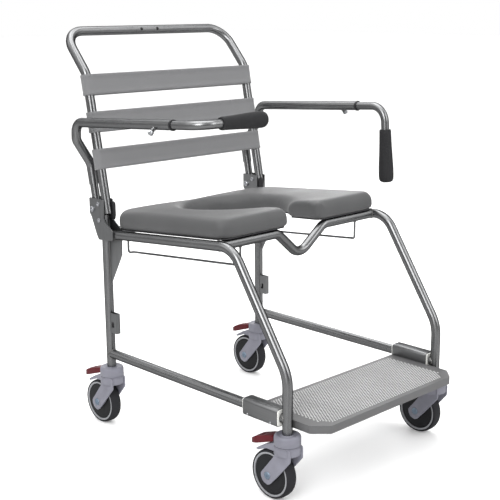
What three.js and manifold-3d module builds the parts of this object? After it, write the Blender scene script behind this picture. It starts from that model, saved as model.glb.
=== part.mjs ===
// Wheeled shower commode chair: tubular frame, open-front seat, swing-up arms,
// sliding footplate and four swivel castors.
// Millimetres. +Z is up, the sitter faces -Y, and "right" is the sitter's right hand, at -X.
import * as THREE from 'three';
import { mergeVertices } from 'three/addons/utils/BufferGeometryUtils.js';
import Module from 'manifold-3d';

const wasm = await Module();
wasm.setup();

// Driving dimensions. Y is counted from the plane of the rear legs.
const HALF_WIDTH = 291;         // tube axis of the side frames
const REAR_LEG_Y = 304;         // puts the origin under the middle of the chair
const FRONT_LEG_Y = -690;
const TUBE_R = 12.7;
const TUBE_BORE = 11.1;
const GAP = 0.3;                // left between pieces that touch

const RAIL_REAR_Z = 557;        // seat rail axis at the rear legs
const SEAT_TILT = THREE.MathUtils.degToRad(4.96);
const RAIL_BEND_Y = -505;
const CROSS_TUBE_Y = -455;
const REAR_CROSS_RISE = 3;
const LEG_BEND_Z = 320;
const LOWER_RAIL_Z = 214.5;
const LEG_FOOT_Z = 151;
const LEG_TOP_Z = 612;

const WHEEL_R = 62.5;
const CASTOR_TRAIL = 45;
const HOUSING_R = 33;

const SEAT = {
  halfWidth: 296, rearY: -14, frontY: -478, rearCorner: 80, frontCorner: 38,
  gapHalf: 52, gapCorner: 24, holeHalf: 132, holeFront: 165, holeRear: 150, holeY: -205,
  boardThick: 6, cushionThick: 46, boardInset: 7,
};
const HOOP = {
  footY: -10.6, footZ: 616, kneeY: 62.9, kneeZ: 986.7, topY: 159.5, topZ: 1095.6,
};
const BRACKET = { innerX: 274, outerX: 305, thick: 3 };
const STRAP = { height: 55, thick: 2.5, pitch: 98, lowestZ: 761, slack: 1.2 };
const ARM = {
  pivotY: 36, pivotZ: 625, lean: 0.19, footZ: 615.5, stepZ: 690, stubR: 11, reachX: 341,
  kinkLowZ: 745, kinkHighZ: 815, kinkHighY: 50, cornerY: 48, cornerZ: 862,
  openY: -350, openZ: 886, bore: 11.6,
};
const HANDLE = { r: 11, bore: 9.4, insert: 90, bendY: -452, bendR: 45, drop: 213, gripLength: 148 };
const FOOTPLATE = { halfWidth: 271.7, rearY: -555, frontY: -780, chamfer: 36, topZ: 207, depth: 20, skin: 3 };
const SLEEVE = { inner: 272, outer: 310, lowZ: 192, highZ: 237, rearY: -556, frontY: -672, wall: 2 };

const COLOUR = {
  steel: { color: 0x8f9192, roughness: 0.35, metalness: 0.9 },
  plate: { color: 0x7f8182, roughness: 0.5, metalness: 0.85 },
  castor: { color: 0x9c9ca6, roughness: 0.5, metalness: 0 },
  tyre: { color: 0x3a3b3f, roughness: 0.7, metalness: 0 },
  hub: { color: 0x35373a, roughness: 0.5, metalness: 0 },
  pedal: { color: 0x7a2026, roughness: 0.45, metalness: 0 },
  rubber: { color: 0x2b2b2b, roughness: 0.85, metalness: 0 },
  black: { color: 0x202022, roughness: 0.6, metalness: 0 },
  nylon: { color: 0xe4e4e0, roughness: 0.5, metalness: 0 },
  cushion: { color: 0x7b7c7e, roughness: 0.75, metalness: 0 },
  strap: { color: 0x858688, roughness: 0.85, metalness: 0 },
  footplate: { color: 0xa8a8a8, roughness: 0.6, metalness: 0.2 },
  zinc: { color: 0x9a9ca0, roughness: 0.35, metalness: 0.9 },
};

const chair = new THREE.Group();
chair.position.y = REAR_LEG_Y;

function add(name, geometry, colour, parent = chair) {
  const mesh = new THREE.Mesh(geometry, new THREE.MeshStandardMaterial(COLOUR[colour]));
  mesh.name = name;
  parent.add(mesh);
  return mesh;
}

function weld(geometry) {
  const bare = geometry.clone();
  bare.deleteAttribute('normal');
  bare.deleteAttribute('uv');
  return mergeVertices(bare, 1e-4);
}

function toSolid(geometry) {
  const welded = weld(geometry);
  return new wasm.Manifold(new wasm.Mesh({
    numProp: 3,
    vertProperties: new Float32Array(welded.attributes.position.array),
    triVerts: new Uint32Array(welded.index.array),
  }));
}

function fromSolid(solid) {
  const mesh = solid.getMesh();
  const geometry = new THREE.BufferGeometry();
  geometry.setAttribute('position', new THREE.BufferAttribute(mesh.vertProperties, 3));
  geometry.setIndex(new THREE.BufferAttribute(mesh.triVerts, 1));
  return geometry;
}

function join(...pieces) {
  return fromSolid(pieces.map(toSolid).reduce((a, b) => a.add(b)));
}

function cut(body, ...tools) {
  return fromSolid(tools.map(toSolid).reduce((a, b) => a.subtract(b), toSolid(body)));
}

// A bent tube's centre line: straight runs with an arc at each corner.
class BentLine extends THREE.Curve {
  constructor(corners, radii, stepAngle = 0.36) {
    super();
    this.stops = [];
    this.headings = [];
    corners.forEach((corner, i) => {
      if (i === 0 || i === corners.length - 1) {
        const heading = i === 0 ? corners[1].clone().sub(corner) : corner.clone().sub(corners[i - 1]);
        this.mark(corner, heading);
        return;
      }
      const into = corner.clone().sub(corners[i - 1]).normalize();
      const away = corners[i + 1].clone().sub(corner).normalize();
      const turn = into.angleTo(away);
      const reach = radii[i - 1] * Math.tan(turn / 2);
      const side = away.clone().addScaledVector(into, -away.dot(into)).normalize();
      const start = corner.clone().addScaledVector(into, -reach);
      const steps = Math.max(2, Math.ceil(turn / stepAngle));
      for (let k = 0; k <= steps; k += 1) {
        const a = (turn * k) / steps;
        const point = start.clone()
          .addScaledVector(into, radii[i - 1] * Math.sin(a))
          .addScaledVector(side, radii[i - 1] * (1 - Math.cos(a)));
        this.mark(point, into.clone().multiplyScalar(Math.cos(a)).addScaledVector(side, Math.sin(a)));
      }
    });
  }

  mark(point, heading) {
    this.stops.push(point.clone());
    this.headings.push(heading.clone().normalize());
  }

  at(list, u) {
    return list[Math.round(u * (list.length - 1))].clone();
  }

  getPoint(u) {
    return this.at(this.stops, u);
  }

  getSpacedPoints() {
    return this.stops;
  }

  getTangentAt(u) {
    return this.at(this.headings, u);
  }
}

function disc(r, bore = 0) {
  const shape = new THREE.Shape().absarc(0, 0, r, 0, 2 * Math.PI, false);
  if (bore > 0) {
    shape.holes.push(new THREE.Path().absarc(0, 0, bore, 0, 2 * Math.PI, true));
  }
  return shape;
}

function tube(corners, radii, r = TUBE_R, bore = 0, sides = 12) {
  const line = new BentLine(corners, radii);
  return new THREE.ExtrudeGeometry(disc(r, bore), {
    steps: line.stops.length - 1,
    curveSegments: sides / 2,
    bevelEnabled: false,
    extrudePath: line,
  });
}

function v(x, y, z) {
  return new THREE.Vector3(x, y, z);
}

// A round bar lying along X between two places.
function barX(r, fromX, toX, y, z, sides = 16) {
  const bar = new THREE.CylinderGeometry(r, r, Math.abs(toX - fromX), sides);
  bar.rotateZ(Math.PI / 2);
  bar.translate((fromX + toX) / 2, y, z);
  return bar;
}

function box(low, high) {
  const size = high.clone().sub(low);
  const geometry = new THREE.BoxGeometry(size.x, size.y, size.z);
  const middle = low.clone().add(high).multiplyScalar(0.5);
  return geometry.translate(middle.x, middle.y, middle.z);
}

// A plate whose outline is drawn in Y and Z, between two X places.
function sidePlate(outline, fromX, toX) {
  const shape = new THREE.Shape(outline.map(([y, z]) => new THREE.Vector2(y, z)));
  const geometry = new THREE.ExtrudeGeometry(shape, { depth: Math.abs(toX - fromX), bevelEnabled: false });
  geometry.rotateY(Math.PI / 2);
  geometry.rotateX(Math.PI / 2);
  return geometry.translate(Math.min(fromX, toX), 0, 0);
}

// Turns a closed outline of [radius, height] points about an axis.
function revolve(profile, sides = 24) {
  const points = profile.map(([r, h]) => new THREE.Vector2(r, h));
  if (profile[0][0] > 0) {
    points.push(points[0].clone());
  }
  const geometry = weld(new THREE.LatheGeometry(points, sides));
  return signedVolume(geometry) < 0 ? flipped(geometry) : geometry;
}

function signedVolume(geometry) {
  const { position } = geometry.attributes;
  const index = geometry.index.array;
  const [a, b, c] = [v(), v(), v()];
  let sum = 0;
  for (let i = 0; i < index.length; i += 3) {
    a.fromBufferAttribute(position, index[i]);
    b.fromBufferAttribute(position, index[i + 1]);
    c.fromBufferAttribute(position, index[i + 2]);
    sum += a.dot(b.cross(c));
  }
  return sum / 6;
}

function flipped(geometry) {
  const index = Array.from(geometry.index.array);
  for (let i = 0; i < index.length; i += 3) {
    [index[i + 1], index[i + 2]] = [index[i + 2], index[i + 1]];
  }
  geometry.setIndex(index);
  return geometry;
}

const railZ = (y) => RAIL_REAR_Z - y * Math.tan(SEAT_TILT);
const sides = [{ name: 'right', s: -1 }, { name: 'left', s: 1 }];

function legCylinder(x, y) {
  return tube([v(x, y, LEG_FOOT_Z - 20), v(x, y, LEG_TOP_Z + 60)], [], TUBE_R + 2 * GAP, 0, 16);
}

function rearLeg(s) {
  const x = s * HALF_WIDTH;
  const clip = { halfX: 6.7, wall: 2, rearY: -4, frontY: -38, lowZ: 279, highZ: 336 };
  const hole = { y: -21.5, z: 303, halfY: 5.5, halfZ: 8 };
  const leg = tube([v(x, 0, LEG_FOOT_Z), v(x, 0, LEG_TOP_Z)], [], TUBE_R, TUBE_BORE);
  const channel = cut(
    box(v(x - clip.halfX, clip.frontY, clip.lowZ), v(x + clip.halfX, clip.rearY, clip.highZ)),
    box(v(x - clip.halfX + clip.wall, clip.frontY + clip.wall, clip.lowZ - 1),
      v(x + clip.halfX - clip.wall, clip.rearY + 1, clip.highZ + 1)),
    box(v(x - clip.halfX - 1, hole.y - hole.halfY, hole.z - hole.halfZ),
      v(x + clip.halfX + 1, hole.y + hole.halfY, hole.z + hole.halfZ)),
  );
  const bore = tube([v(x, 0, LEG_FOOT_Z - 1), v(x, 0, LEG_TOP_Z + 1)], [], TUBE_BORE);
  return join(leg, cut(channel, bore));
}

function sideFrame(s) {
  const x = s * HALF_WIDTH;
  const whole = tube([
    v(x, -6, railZ(-6)),
    v(x, RAIL_BEND_Y, railZ(RAIL_BEND_Y)),
    v(x, FRONT_LEG_Y, LEG_BEND_Z),
    v(x, FRONT_LEG_Y, LEG_FOOT_Z),
  ], [70, 100]);
  const socket = tube([v(x, FRONT_LEG_Y, LEG_FOOT_Z - 1), v(x, FRONT_LEG_Y, LEG_FOOT_Z + 30)], [], TUBE_BORE);
  return cut(whole, legCylinder(x, 0), socket);
}

function lowerRail(s) {
  const x = s * HALF_WIDTH;
  const whole = tube([v(x, -6, LOWER_RAIL_Z), v(x, FRONT_LEG_Y + 6, LOWER_RAIL_Z)], [], TUBE_R, TUBE_BORE);
  return cut(whole, legCylinder(x, 0), legCylinder(x, FRONT_LEG_Y));
}

function gusset(s) {
  const under = (y) => railZ(y) - TUBE_R / Math.cos(SEAT_TILT) - GAP;
  const rearY = -TUBE_R - GAP;
  const plate = { halfThick: 1.5, lowZ: 420, lowY: -17, frontY: -69, cornerY: -67, cornerZ: 509 };
  const outline = [
    [rearY, plate.lowZ], [rearY, under(rearY)], [plate.frontY, under(plate.frontY)],
    [plate.cornerY, plate.cornerZ], [plate.lowY, plate.lowZ],
  ];
  return sidePlate(outline, s * HALF_WIDTH - plate.halfThick, s * HALF_WIDTH + plate.halfThick);
}

function seatRailCylinder(s, frontY) {
  const x = s * HALF_WIDTH;
  return tube([v(x, frontY + 60, railZ(frontY + 60)), v(x, frontY, railZ(frontY))], [], TUBE_R + 2 * GAP, 0, 16);
}

// The front cross tube dips in the middle, under the opening of the seat.
function frontCrossTube() {
  const y = CROSS_TUBE_Y;
  const z = railZ(y);
  const dip = { halfTop: 88, y: -449, z: 524 };
  const end = HALF_WIDTH - 6;
  const whole = tube([
    v(-end, y, z), v(-dip.halfTop, y, z), v(0, dip.y, dip.z), v(dip.halfTop, y, z), v(end, y, z),
  ], [36, 40, 36]);
  return cut(whole, seatRailCylinder(-1, -480), seatRailCylinder(1, -480));
}

function rearCrossTube() {
  const end = BRACKET.innerX - GAP;
  const z = RAIL_REAR_Z + REAR_CROSS_RISE;
  return tube([v(-end, 0, z), v(end, 0, z)], []);
}

// Wire runner that a bedpan slides on: hung under the rear cross tube and under the front one.
function panRunner(s) {
  const wire = { r: 3, x: 218, rearZ: 492, kinkY: -22, kinkZ: 498.2, frontZ: 535.5, bend: 7, kinkBend: 20 };
  const x = s * wire.x;
  const clear = TUBE_R + 2 * GAP;
  return tube([
    v(x, 0, RAIL_REAR_Z + REAR_CROSS_RISE - clear), v(x, 0, wire.rearZ), v(x, wire.kinkY, wire.kinkZ),
    v(x, CROSS_TUBE_Y, wire.frontZ), v(x, CROSS_TUBE_Y, railZ(CROSS_TUBE_Y) - clear),
  ], [wire.bend, wire.kinkBend, wire.bend], wire.r, 0, 8);
}

for (const { name, s } of sides) {
  add(`rear_leg_${name}`, rearLeg(s), 'steel');
  add(`side_frame_${name}`, sideFrame(s), 'steel');
  add(`lower_rail_${name}`, lowerRail(s), 'steel');
  add(`gusset_${name}`, gusset(s), 'plate');
  add(`pan_runner_${name}`, panRunner(s), 'steel');
}
add('front_cross_tube', frontCrossTube(), 'steel');
add('rear_cross_tube', rearCrossTube(), 'steel');

const hoopSlope = (HOOP.kneeY - HOOP.footY) / (HOOP.kneeZ - HOOP.footZ);
const hoopLean = Math.atan(hoopSlope);
const hoopY = (z) => HOOP.footY + (z - HOOP.footZ) * hoopSlope;

function hoop() {
  const x = HALF_WIDTH;
  return tube([
    v(-x, HOOP.footY, HOOP.footZ), v(-x, HOOP.kneeY, HOOP.kneeZ), v(-x, HOOP.topY, HOOP.topZ),
    v(x, HOOP.topY, HOOP.topZ), v(x, HOOP.kneeY, HOOP.kneeZ), v(x, HOOP.footY, HOOP.footZ),
  ], [45, 60, 60, 45]);
}

// A closed band round both side tubes of the hoop.
function strap(middleZ) {
  const racetrack = (r, path) => path
    .absarc(HALF_WIDTH, 0, r, -Math.PI / 2, Math.PI / 2, false)
    .absarc(-HALF_WIDTH, 0, r, Math.PI / 2, (3 * Math.PI) / 2, false);
  const inner = TUBE_R + STRAP.slack;
  const shape = racetrack(inner + STRAP.thick, new THREE.Shape());
  shape.holes.push(racetrack(inner, new THREE.Path()));
  const band = new THREE.ExtrudeGeometry(shape, { depth: STRAP.height, bevelEnabled: false, curveSegments: 5 });
  band.translate(0, STRAP.slack / 2, -STRAP.height / 2);
  band.rotateX(-hoopLean);
  return band.translate(0, hoopY(middleZ), middleZ);
}

add('backrest_hoop', hoop(), 'steel');
['lower', 'middle', 'upper'].forEach((name, i) => {
  add(`back_strap_${name}`, strap(STRAP.lowestZ + i * STRAP.pitch), 'strap');
});

const STOP = { y: 18, z: 642, r: 9.7 };
const PIN_R = 5;
const bracketOutline = [
  [50, 655], [-12, 655], [-12, 600], [-20, 594], [-50, 572], [-50, 550], [-46, 547],
  [13, 542], [22, 556], [43, 604], [50, 612],
];

function pinHole() {
  const reach = HALF_WIDTH + 60;
  return barX(PIN_R + GAP, -reach, reach, ARM.pivotY, ARM.pivotZ);
}

function outerBracket(s) {
  const plate = sidePlate(bracketOutline, s * BRACKET.outerX, s * (BRACKET.outerX + BRACKET.thick));
  return cut(plate, pinHole());
}

// The inner plate carries the round stop that the arm leans on.
function innerBracket(s) {
  const plate = sidePlate(bracketOutline, s * BRACKET.innerX, s * (BRACKET.innerX + BRACKET.thick));
  const stop = barX(STOP.r, s * (BRACKET.innerX + 1), s * (BRACKET.outerX - GAP), STOP.y, STOP.z);
  const foot = tube([v(s * HALF_WIDTH, 0, LEG_FOOT_Z), v(s * HALF_WIDTH, 0, LEG_TOP_Z + GAP)], [], TUBE_R + GAP);
  return cut(join(plate, stop), pinHole(), foot);
}

// Moulded block on the inner plate, in front of the backrest tube.
function backrestSaddle(s) {
  const block = { innerX: BRACKET.innerX + BRACKET.thick + GAP, outerX: 286, frontY: -31, rearY: -12, lowZ: 615, highZ: 654 };
  const whole = box(
    v(Math.min(s * block.innerX, s * block.outerX), block.frontY, block.lowZ),
    v(Math.max(s * block.innerX, s * block.outerX), block.rearY, block.highZ),
  );
  const hoopTube = tube([
    v(s * HALF_WIDTH, hoopY(590), 590), v(s * HALF_WIDTH, hoopY(700), 700),
  ], [], TUBE_R + GAP, 0, 24);
  return cut(whole, hoopTube);
}

function armPin(s) {
  const inside = BRACKET.innerX - GAP;
  const outside = BRACKET.outerX + BRACKET.thick + GAP;
  const head = { r: 8, thick: 4.5 };
  return join(
    barX(PIN_R, s * (inside - 1), s * (outside + 1), ARM.pivotY, ARM.pivotZ),
    barX(head.r, s * (inside - head.thick), s * inside, ARM.pivotY, ARM.pivotZ),
    barX(head.r, s * outside, s * (outside + head.thick), ARM.pivotY, ARM.pivotZ),
  );
}

for (const { name, s } of sides) {
  add(`bracket_outer_${name}`, outerBracket(s), 'plate');
  add(`bracket_inner_${name}`, innerBracket(s), 'plate');
  add(`backrest_saddle_${name}`, backrestSaddle(s), 'black');
  add(`arm_pin_${name}`, armPin(s), 'zinc');
}

const armTilt = Math.atan((ARM.openZ - ARM.cornerZ) / (ARM.cornerY - ARM.openY));
const stubY = (z) => ARM.pivotY + (z - ARM.pivotZ) * ARM.lean;
const armZ = (y) => ARM.cornerZ + (ARM.cornerY - y) * Math.tan(armTilt);
const PLUNGER = { y: -290, tipR: 2.5, knobR: 7, bossR: 5.5, bossHigh: 9, angle: Math.PI / 4 };

// Puts a piece drawn on the arm's own axis (local -Y forward) at a place along the arm.
function onArm(geometry, s, y) {
  geometry.rotateX(-armTilt);
  return geometry.translate(s * ARM.reachX, y, armZ(y));
}

// A bar that sticks out of the arm, down and outboard, between two radii.
function plungerBar(s, r, from, to, sidesRound = 16) {
  const bar = new THREE.CylinderGeometry(r, r, to - from, sidesRound);
  bar.translate(0, -(from + to) / 2, 0);
  bar.rotateX(Math.PI / 2);
  bar.rotateY(s > 0 ? -PLUNGER.angle : PLUNGER.angle);
  return bar;
}

function armTube(s) {
  const x = s * HALF_WIDTH;
  const outX = s * ARM.reachX;
  const above = tube([
    v(x, stubY(ARM.stepZ), ARM.stepZ), v(x, stubY(ARM.kinkLowZ), ARM.kinkLowZ),
    v(outX, ARM.kinkHighY, ARM.kinkHighZ), v(outX, ARM.cornerY, ARM.cornerZ), v(outX, ARM.openY, ARM.openZ),
  ], [30, 24, 30], TUBE_R, ARM.bore);
  const stub = tube([v(x, stubY(ARM.footZ), ARM.footZ), v(x, stubY(ARM.stepZ + 8), ARM.stepZ + 8)], [], ARM.stubR);
  const plug = tube([
    v(x, stubY(ARM.stepZ), ARM.stepZ), v(x, stubY(ARM.stepZ + 8), ARM.stepZ + 8),
  ], [], ARM.bore + 0.5);
  const boss = onArm(plungerBar(s, PLUNGER.bossR, TUBE_R - 1, TUBE_R + PLUNGER.bossHigh), s, PLUNGER.y);
  const hole = onArm(plungerBar(s, PLUNGER.tipR + GAP, ARM.bore - 3, TUBE_R + 20), s, PLUNGER.y);
  return cut(join(above, stub, plug, boss), hole, pinHole());
}

// Spring plunger: a thin pin with a knob, whose tip stops just short of the handle tube.
function plunger(s) {
  const knobFrom = TUBE_R + PLUNGER.bossHigh + GAP;
  const pin = plungerBar(s, PLUNGER.tipR, HANDLE.r + 0.35, knobFrom + 2, 12);
  const knob = plungerBar(s, PLUNGER.knobR, knobFrom, knobFrom + 9);
  return onArm(join(pin, knob), s, PLUNGER.y);
}

// The handle turns in the open end of the arm. It is drawn hanging, from the corner of its bend.
function handleTube() {
  const insertEnd = (ARM.openY - HANDLE.bendY) / Math.cos(armTilt) + HANDLE.insert;
  return tube([
    v(0, insertEnd, 0), v(0, 0, 0), v(0, 0, -HANDLE.drop + 6),
  ], [HANDLE.bendR], HANDLE.r, HANDLE.bore);
}

function grip() {
  const low = -HANDLE.drop;
  const high = low + HANDLE.gripLength;
  const bore = HANDLE.r + GAP;
  const profile = [
    [0, low], [13, low + 0.6], [18.4, low + 4], [20.6, low + 10], [20.8, low + 34], [18.4, low + 82],
    [16.4, high - 12], [16.2, high - 3], [14.6, high], [bore, high], [bore, low + 5.4], [0, low + 5.4],
  ];
  return revolve(profile, 16).rotateX(Math.PI / 2);
}

for (const { name, s } of sides) {
  add(`arm_tube_${name}`, armTube(s), 'steel');
  add(`plunger_${name}`, plunger(s), 'zinc');
  const corner = new THREE.Group();
  corner.position.set(s * ARM.reachX, HANDLE.bendY, armZ(HANDLE.bendY));
  corner.rotation.x = -armTilt;
  const swivel = new THREE.Group();
  swivel.rotation.y = s < 0 ? -Math.PI / 2 : 0;   // the right handle is folded across the front
  chair.add(corner);
  corner.add(swivel);
  add(`handle_tube_${name}`, handleTube(), 'steel', swivel);
  add(`grip_${name}`, grip(), 'rubber', swivel);
}

// Horseshoe outline, open at the front, drawn in one closed run.
function seatOutline(inset) {
  const half = SEAT.halfWidth - inset;
  const rear = SEAT.rearY - inset;
  const front = SEAT.frontY + inset;
  const gap = SEAT.gapHalf + inset;
  const a = SEAT.holeHalf + inset;
  const frontB = SEAT.holeFront + inset;
  const rearB = SEAT.holeRear + inset;
  const rc = SEAT.rearCorner - inset;
  const fc = SEAT.frontCorner - inset;
  const gc = SEAT.gapCorner - inset / 2;
  const mouth = Math.acos(gap / a);
  const shape = new THREE.Shape();
  shape.absarc(half - rc, rear - rc, rc, 0, Math.PI / 2, false);
  shape.absarc(-half + rc, rear - rc, rc, Math.PI / 2, Math.PI, false);
  shape.absarc(-half + fc, front + fc, fc, Math.PI, 1.5 * Math.PI, false);
  shape.absarc(-gap - gc, front + gc, gc, 1.5 * Math.PI, 2 * Math.PI, false);
  shape.absellipse(0, SEAT.holeY, a, frontB, Math.PI + mouth, Math.PI, true);
  shape.absellipse(0, SEAT.holeY, a, rearB, Math.PI, 0, true);
  shape.absellipse(0, SEAT.holeY, a, frontB, 0, -mouth, true);
  shape.absarc(gap + gc, front + gc, gc, Math.PI, 1.5 * Math.PI, false);
  shape.absarc(half - fc, front + fc, fc, 1.5 * Math.PI, 2 * Math.PI, false);
  return shape;
}

const seatPlane = new THREE.Group();
seatPlane.position.z = RAIL_REAR_Z;
seatPlane.rotation.x = -SEAT_TILT;
chair.add(seatPlane);

function seatBoard() {
  const board = new THREE.ExtrudeGeometry(seatOutline(SEAT.boardInset), {
    depth: SEAT.boardThick, bevelEnabled: false, curveSegments: 6,
  });
  return board.translate(0, 0, TUBE_R + GAP);
}

function seatCushion() {
  const edge = 9;
  const pad = new THREE.ExtrudeGeometry(seatOutline(edge), {
    depth: SEAT.cushionThick - 2 * edge, curveSegments: 6,
    bevelEnabled: true, bevelThickness: edge, bevelSize: edge, bevelSegments: 1,
  });
  return pad.translate(0, 0, TUBE_R + SEAT.boardThick + 2 * GAP + edge);
}

add('seat_board', seatBoard(), 'black', seatPlane);
add('seat_cushion', seatCushion(), 'cushion', seatPlane);

function footplateOutline(inset) {
  const half = FOOTPLATE.halfWidth - inset;
  const rear = FOOTPLATE.rearY - inset;
  const front = FOOTPLATE.frontY + inset;
  const c = FOOTPLATE.chamfer - inset * 0.4;
  return new THREE.Shape([
    [half, rear], [-half, rear], [-half, front + c], [-half + c, front], [half - c, front], [half, front + c],
  ].map(([x, y]) => new THREE.Vector2(x, y)));
}

function footplate() {
  const slab = (inset, depth, topZ) => new THREE.ExtrudeGeometry(footplateOutline(inset), {
    depth, bevelEnabled: false,
  }).translate(0, 0, topZ - depth);
  const { topZ, depth, skin } = FOOTPLATE;
  return cut(slab(0, depth, topZ), slab(skin, depth, topZ - skin));
}

function slideSleeve(s) {
  const { inner, outer, lowZ, highZ, rearY, frontY, wall } = SLEEVE;
  return cut(
    box(v(Math.min(s * inner, s * outer), frontY, lowZ), v(Math.max(s * inner, s * outer), rearY, highZ)),
    box(v(Math.min(s * inner, s * outer) + wall, frontY - 1, lowZ + wall),
      v(Math.max(s * inner, s * outer) - wall, rearY + 1, highZ - wall)),
  );
}

// Nylon liner between the sleeve and the rail, showing at both ends.
function slideBush(s) {
  const lip = 3.5;
  const inset = SLEEVE.wall + GAP;
  const low = Math.min(s * SLEEVE.inner, s * SLEEVE.outer) + inset;
  const high = Math.max(s * SLEEVE.inner, s * SLEEVE.outer) - inset;
  const block = box(
    v(low, SLEEVE.frontY - lip, SLEEVE.lowZ + inset),
    v(high, SLEEVE.rearY + lip, SLEEVE.highZ - inset),
  );
  const x = s * HALF_WIDTH;
  return cut(block, tube([v(x, FRONT_LEG_Y, LOWER_RAIL_Z), v(x, -400, LOWER_RAIL_Z)], [], TUBE_R + 0.45, 0, 24));
}

add('footplate', footplate(), 'footplate');
for (const { name, s } of sides) {
  add(`slide_sleeve_${name}`, slideSleeve(s), 'plate');
  add(`slide_bush_${name}`, slideBush(s), 'nylon');
}

// Outlines are drawn in Y and Z, from the leg's axis and the floor.
const forkCheek = [
  [-24, 150], [-32, 146], [-32, 118], [16, 64], [38, 41], [46, 38], [60, 43], [67, 54], [68, 64],
  [22, 121], [22, 150],
];
const forkTail = [[10, 128.5], [10, 150], [28, 147.5], [72, 131], [70, 128], [50, 127.8]];
const pedalSide = [
  [34.2, 152], [34.2, 164], [38, 166], [60, 161], [92, 150], [112, 138], [116, 131], [111, 127],
  [88, 133], [60, 143], [40, 149.6],
];
const CHEEK = { innerX: 18.6, outerX: 23.2 };
const AXLE_R = 6;

function castorCap() {
  const bore = TUBE_R + 0.6;
  return revolve([
    [bore, 151], [HOUSING_R, 151], [HOUSING_R, 173], [HOUSING_R - 3, 177], [bore, 177],
  ], 20).rotateX(Math.PI / 2);
}

function castorFork() {
  const head = revolve([
    [0, 127.6], [HOUSING_R - 2, 127.6], [HOUSING_R, 130], [HOUSING_R, 150.6],
    [TUBE_BORE - 0.9, 150.6], [TUBE_BORE - 0.9, 172], [0, 172],
  ], 20).rotateX(Math.PI / 2);
  const { innerX, outerX } = CHEEK;
  return join(
    head,
    sidePlate(forkCheek, -outerX, -innerX),
    sidePlate(forkCheek, innerX, outerX),
    sidePlate(forkTail, -15, 15),
    barX(AXLE_R, -outerX - 1, outerX + 1, CASTOR_TRAIL, WHEEL_R, 12),
    barX(8.5, -outerX - 4, -outerX + 0.5, CASTOR_TRAIL, WHEEL_R, 12),
    barX(8.5, outerX - 0.5, outerX + 4, CASTOR_TRAIL, WHEEL_R, 12),
  );
}

function onAxle(geometry) {
  return geometry.rotateZ(-Math.PI / 2).translate(0, CASTOR_TRAIL, WHEEL_R);
}

function castorWheel() {
  const half = 15.5;
  return onAxle(revolve([
    [AXLE_R + 0.3, -half - 1], [20, -half], [48, -half + 2.5], [56.5, -half + 0.5], [50, -8],
    [50, 8], [56.5, half - 0.5], [48, half - 2.5], [20, half], [AXLE_R + 0.3, half + 1],
  ], 20));
}

function castorTyre() {
  const half = 16;
  return onAxle(revolve([
    [50.6, -7.7], [57, -half + 1], [60.4, -half + 3], [WHEEL_R, -6],
    [WHEEL_R, 6], [60.4, half - 3], [57, half - 1], [50.6, 7.7],
  ], 30));
}

function brakePedal() {
  const body = toSolid(sidePlate(pedalSide, -18, 18));
  const plan = new THREE.Shape();
  plan.moveTo(-15, 30);
  plan.lineTo(15, 30);
  plan.lineTo(18, 60);
  plan.lineTo(18, 92);
  plan.absellipse(0, 92, 18, 24, 0, Math.PI, false);
  plan.lineTo(-18, 60);
  const outline = new THREE.ExtrudeGeometry(plan, { depth: 60, bevelEnabled: false, curveSegments: 8 });
  return fromSolid(body.intersect(toSolid(outline.translate(0, 0, 120))));
}

function castor(name, x, y) {
  const place = new THREE.Group();
  place.position.set(x, y, 0);
  chair.add(place);
  add(`castor_cap_${name}`, castorCap(), 'castor', place);
  add(`castor_fork_${name}`, castorFork(), 'castor', place);
  add(`wheel_${name}`, castorWheel(), 'hub', place);
  add(`tyre_${name}`, castorTyre(), 'tyre', place);
  add(`brake_pedal_${name}`, brakePedal(), 'pedal', place);
}

for (const { name, s } of sides) {
  castor(`front_${name}`, s * HALF_WIDTH, FRONT_LEG_Y);
  castor(`rear_${name}`, s * HALF_WIDTH, 0);
}

export default chair;
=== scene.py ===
import math
import bmesh
import bpy
import numpy as np
from mathutils import Matrix, Quaternion, Vector


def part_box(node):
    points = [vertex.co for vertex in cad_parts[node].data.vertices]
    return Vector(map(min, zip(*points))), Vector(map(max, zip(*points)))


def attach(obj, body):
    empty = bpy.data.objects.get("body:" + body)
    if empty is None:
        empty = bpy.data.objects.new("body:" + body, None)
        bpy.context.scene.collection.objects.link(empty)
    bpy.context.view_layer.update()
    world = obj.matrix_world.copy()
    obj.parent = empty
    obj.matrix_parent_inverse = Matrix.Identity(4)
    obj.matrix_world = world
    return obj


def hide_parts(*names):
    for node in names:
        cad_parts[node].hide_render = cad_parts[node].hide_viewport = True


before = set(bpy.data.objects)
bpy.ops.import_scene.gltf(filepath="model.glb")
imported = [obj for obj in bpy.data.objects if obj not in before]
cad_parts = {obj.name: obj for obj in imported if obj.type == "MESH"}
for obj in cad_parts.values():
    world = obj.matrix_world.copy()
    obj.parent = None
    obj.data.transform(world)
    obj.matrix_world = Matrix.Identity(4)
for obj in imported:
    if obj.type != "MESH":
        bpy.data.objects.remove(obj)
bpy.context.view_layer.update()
print("frame loaded with", len(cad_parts), "nodes")

# Shapes are drawn in millimetres, with y counted from the rear legs, and are placed when they become pieces.
mm = 0.001
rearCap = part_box("castor_cap_rear_right")
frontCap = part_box("castor_cap_front_right")
legX = -(rearCap[0].x + rearCap[1].x) / 2 / mm
rearLegY = (rearCap[0].y + rearCap[1].y) / 2
frontY = ((frontCap[0].y + frontCap[1].y) / 2 - rearLegY) / mm
toFrame = Matrix.Translation((0, rearLegY, 0)) @ Matrix.Scale(mm, 4)
sides = [("right", -1), ("left", 1)]
castors = [("front_right", -1, frontY), ("front_left", 1, frontY), ("rear_right", -1, 0), ("rear_left", 1, 0)]


camera = {
    "place": (-1968.1, -2308.1, 1172.2), "azimuth": -45.147, "elevation": 13.977, "roll": -0.064, "lens": 75.82,
    "shiftX": -0.04457, "shiftY": 0.02865,
}


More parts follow.
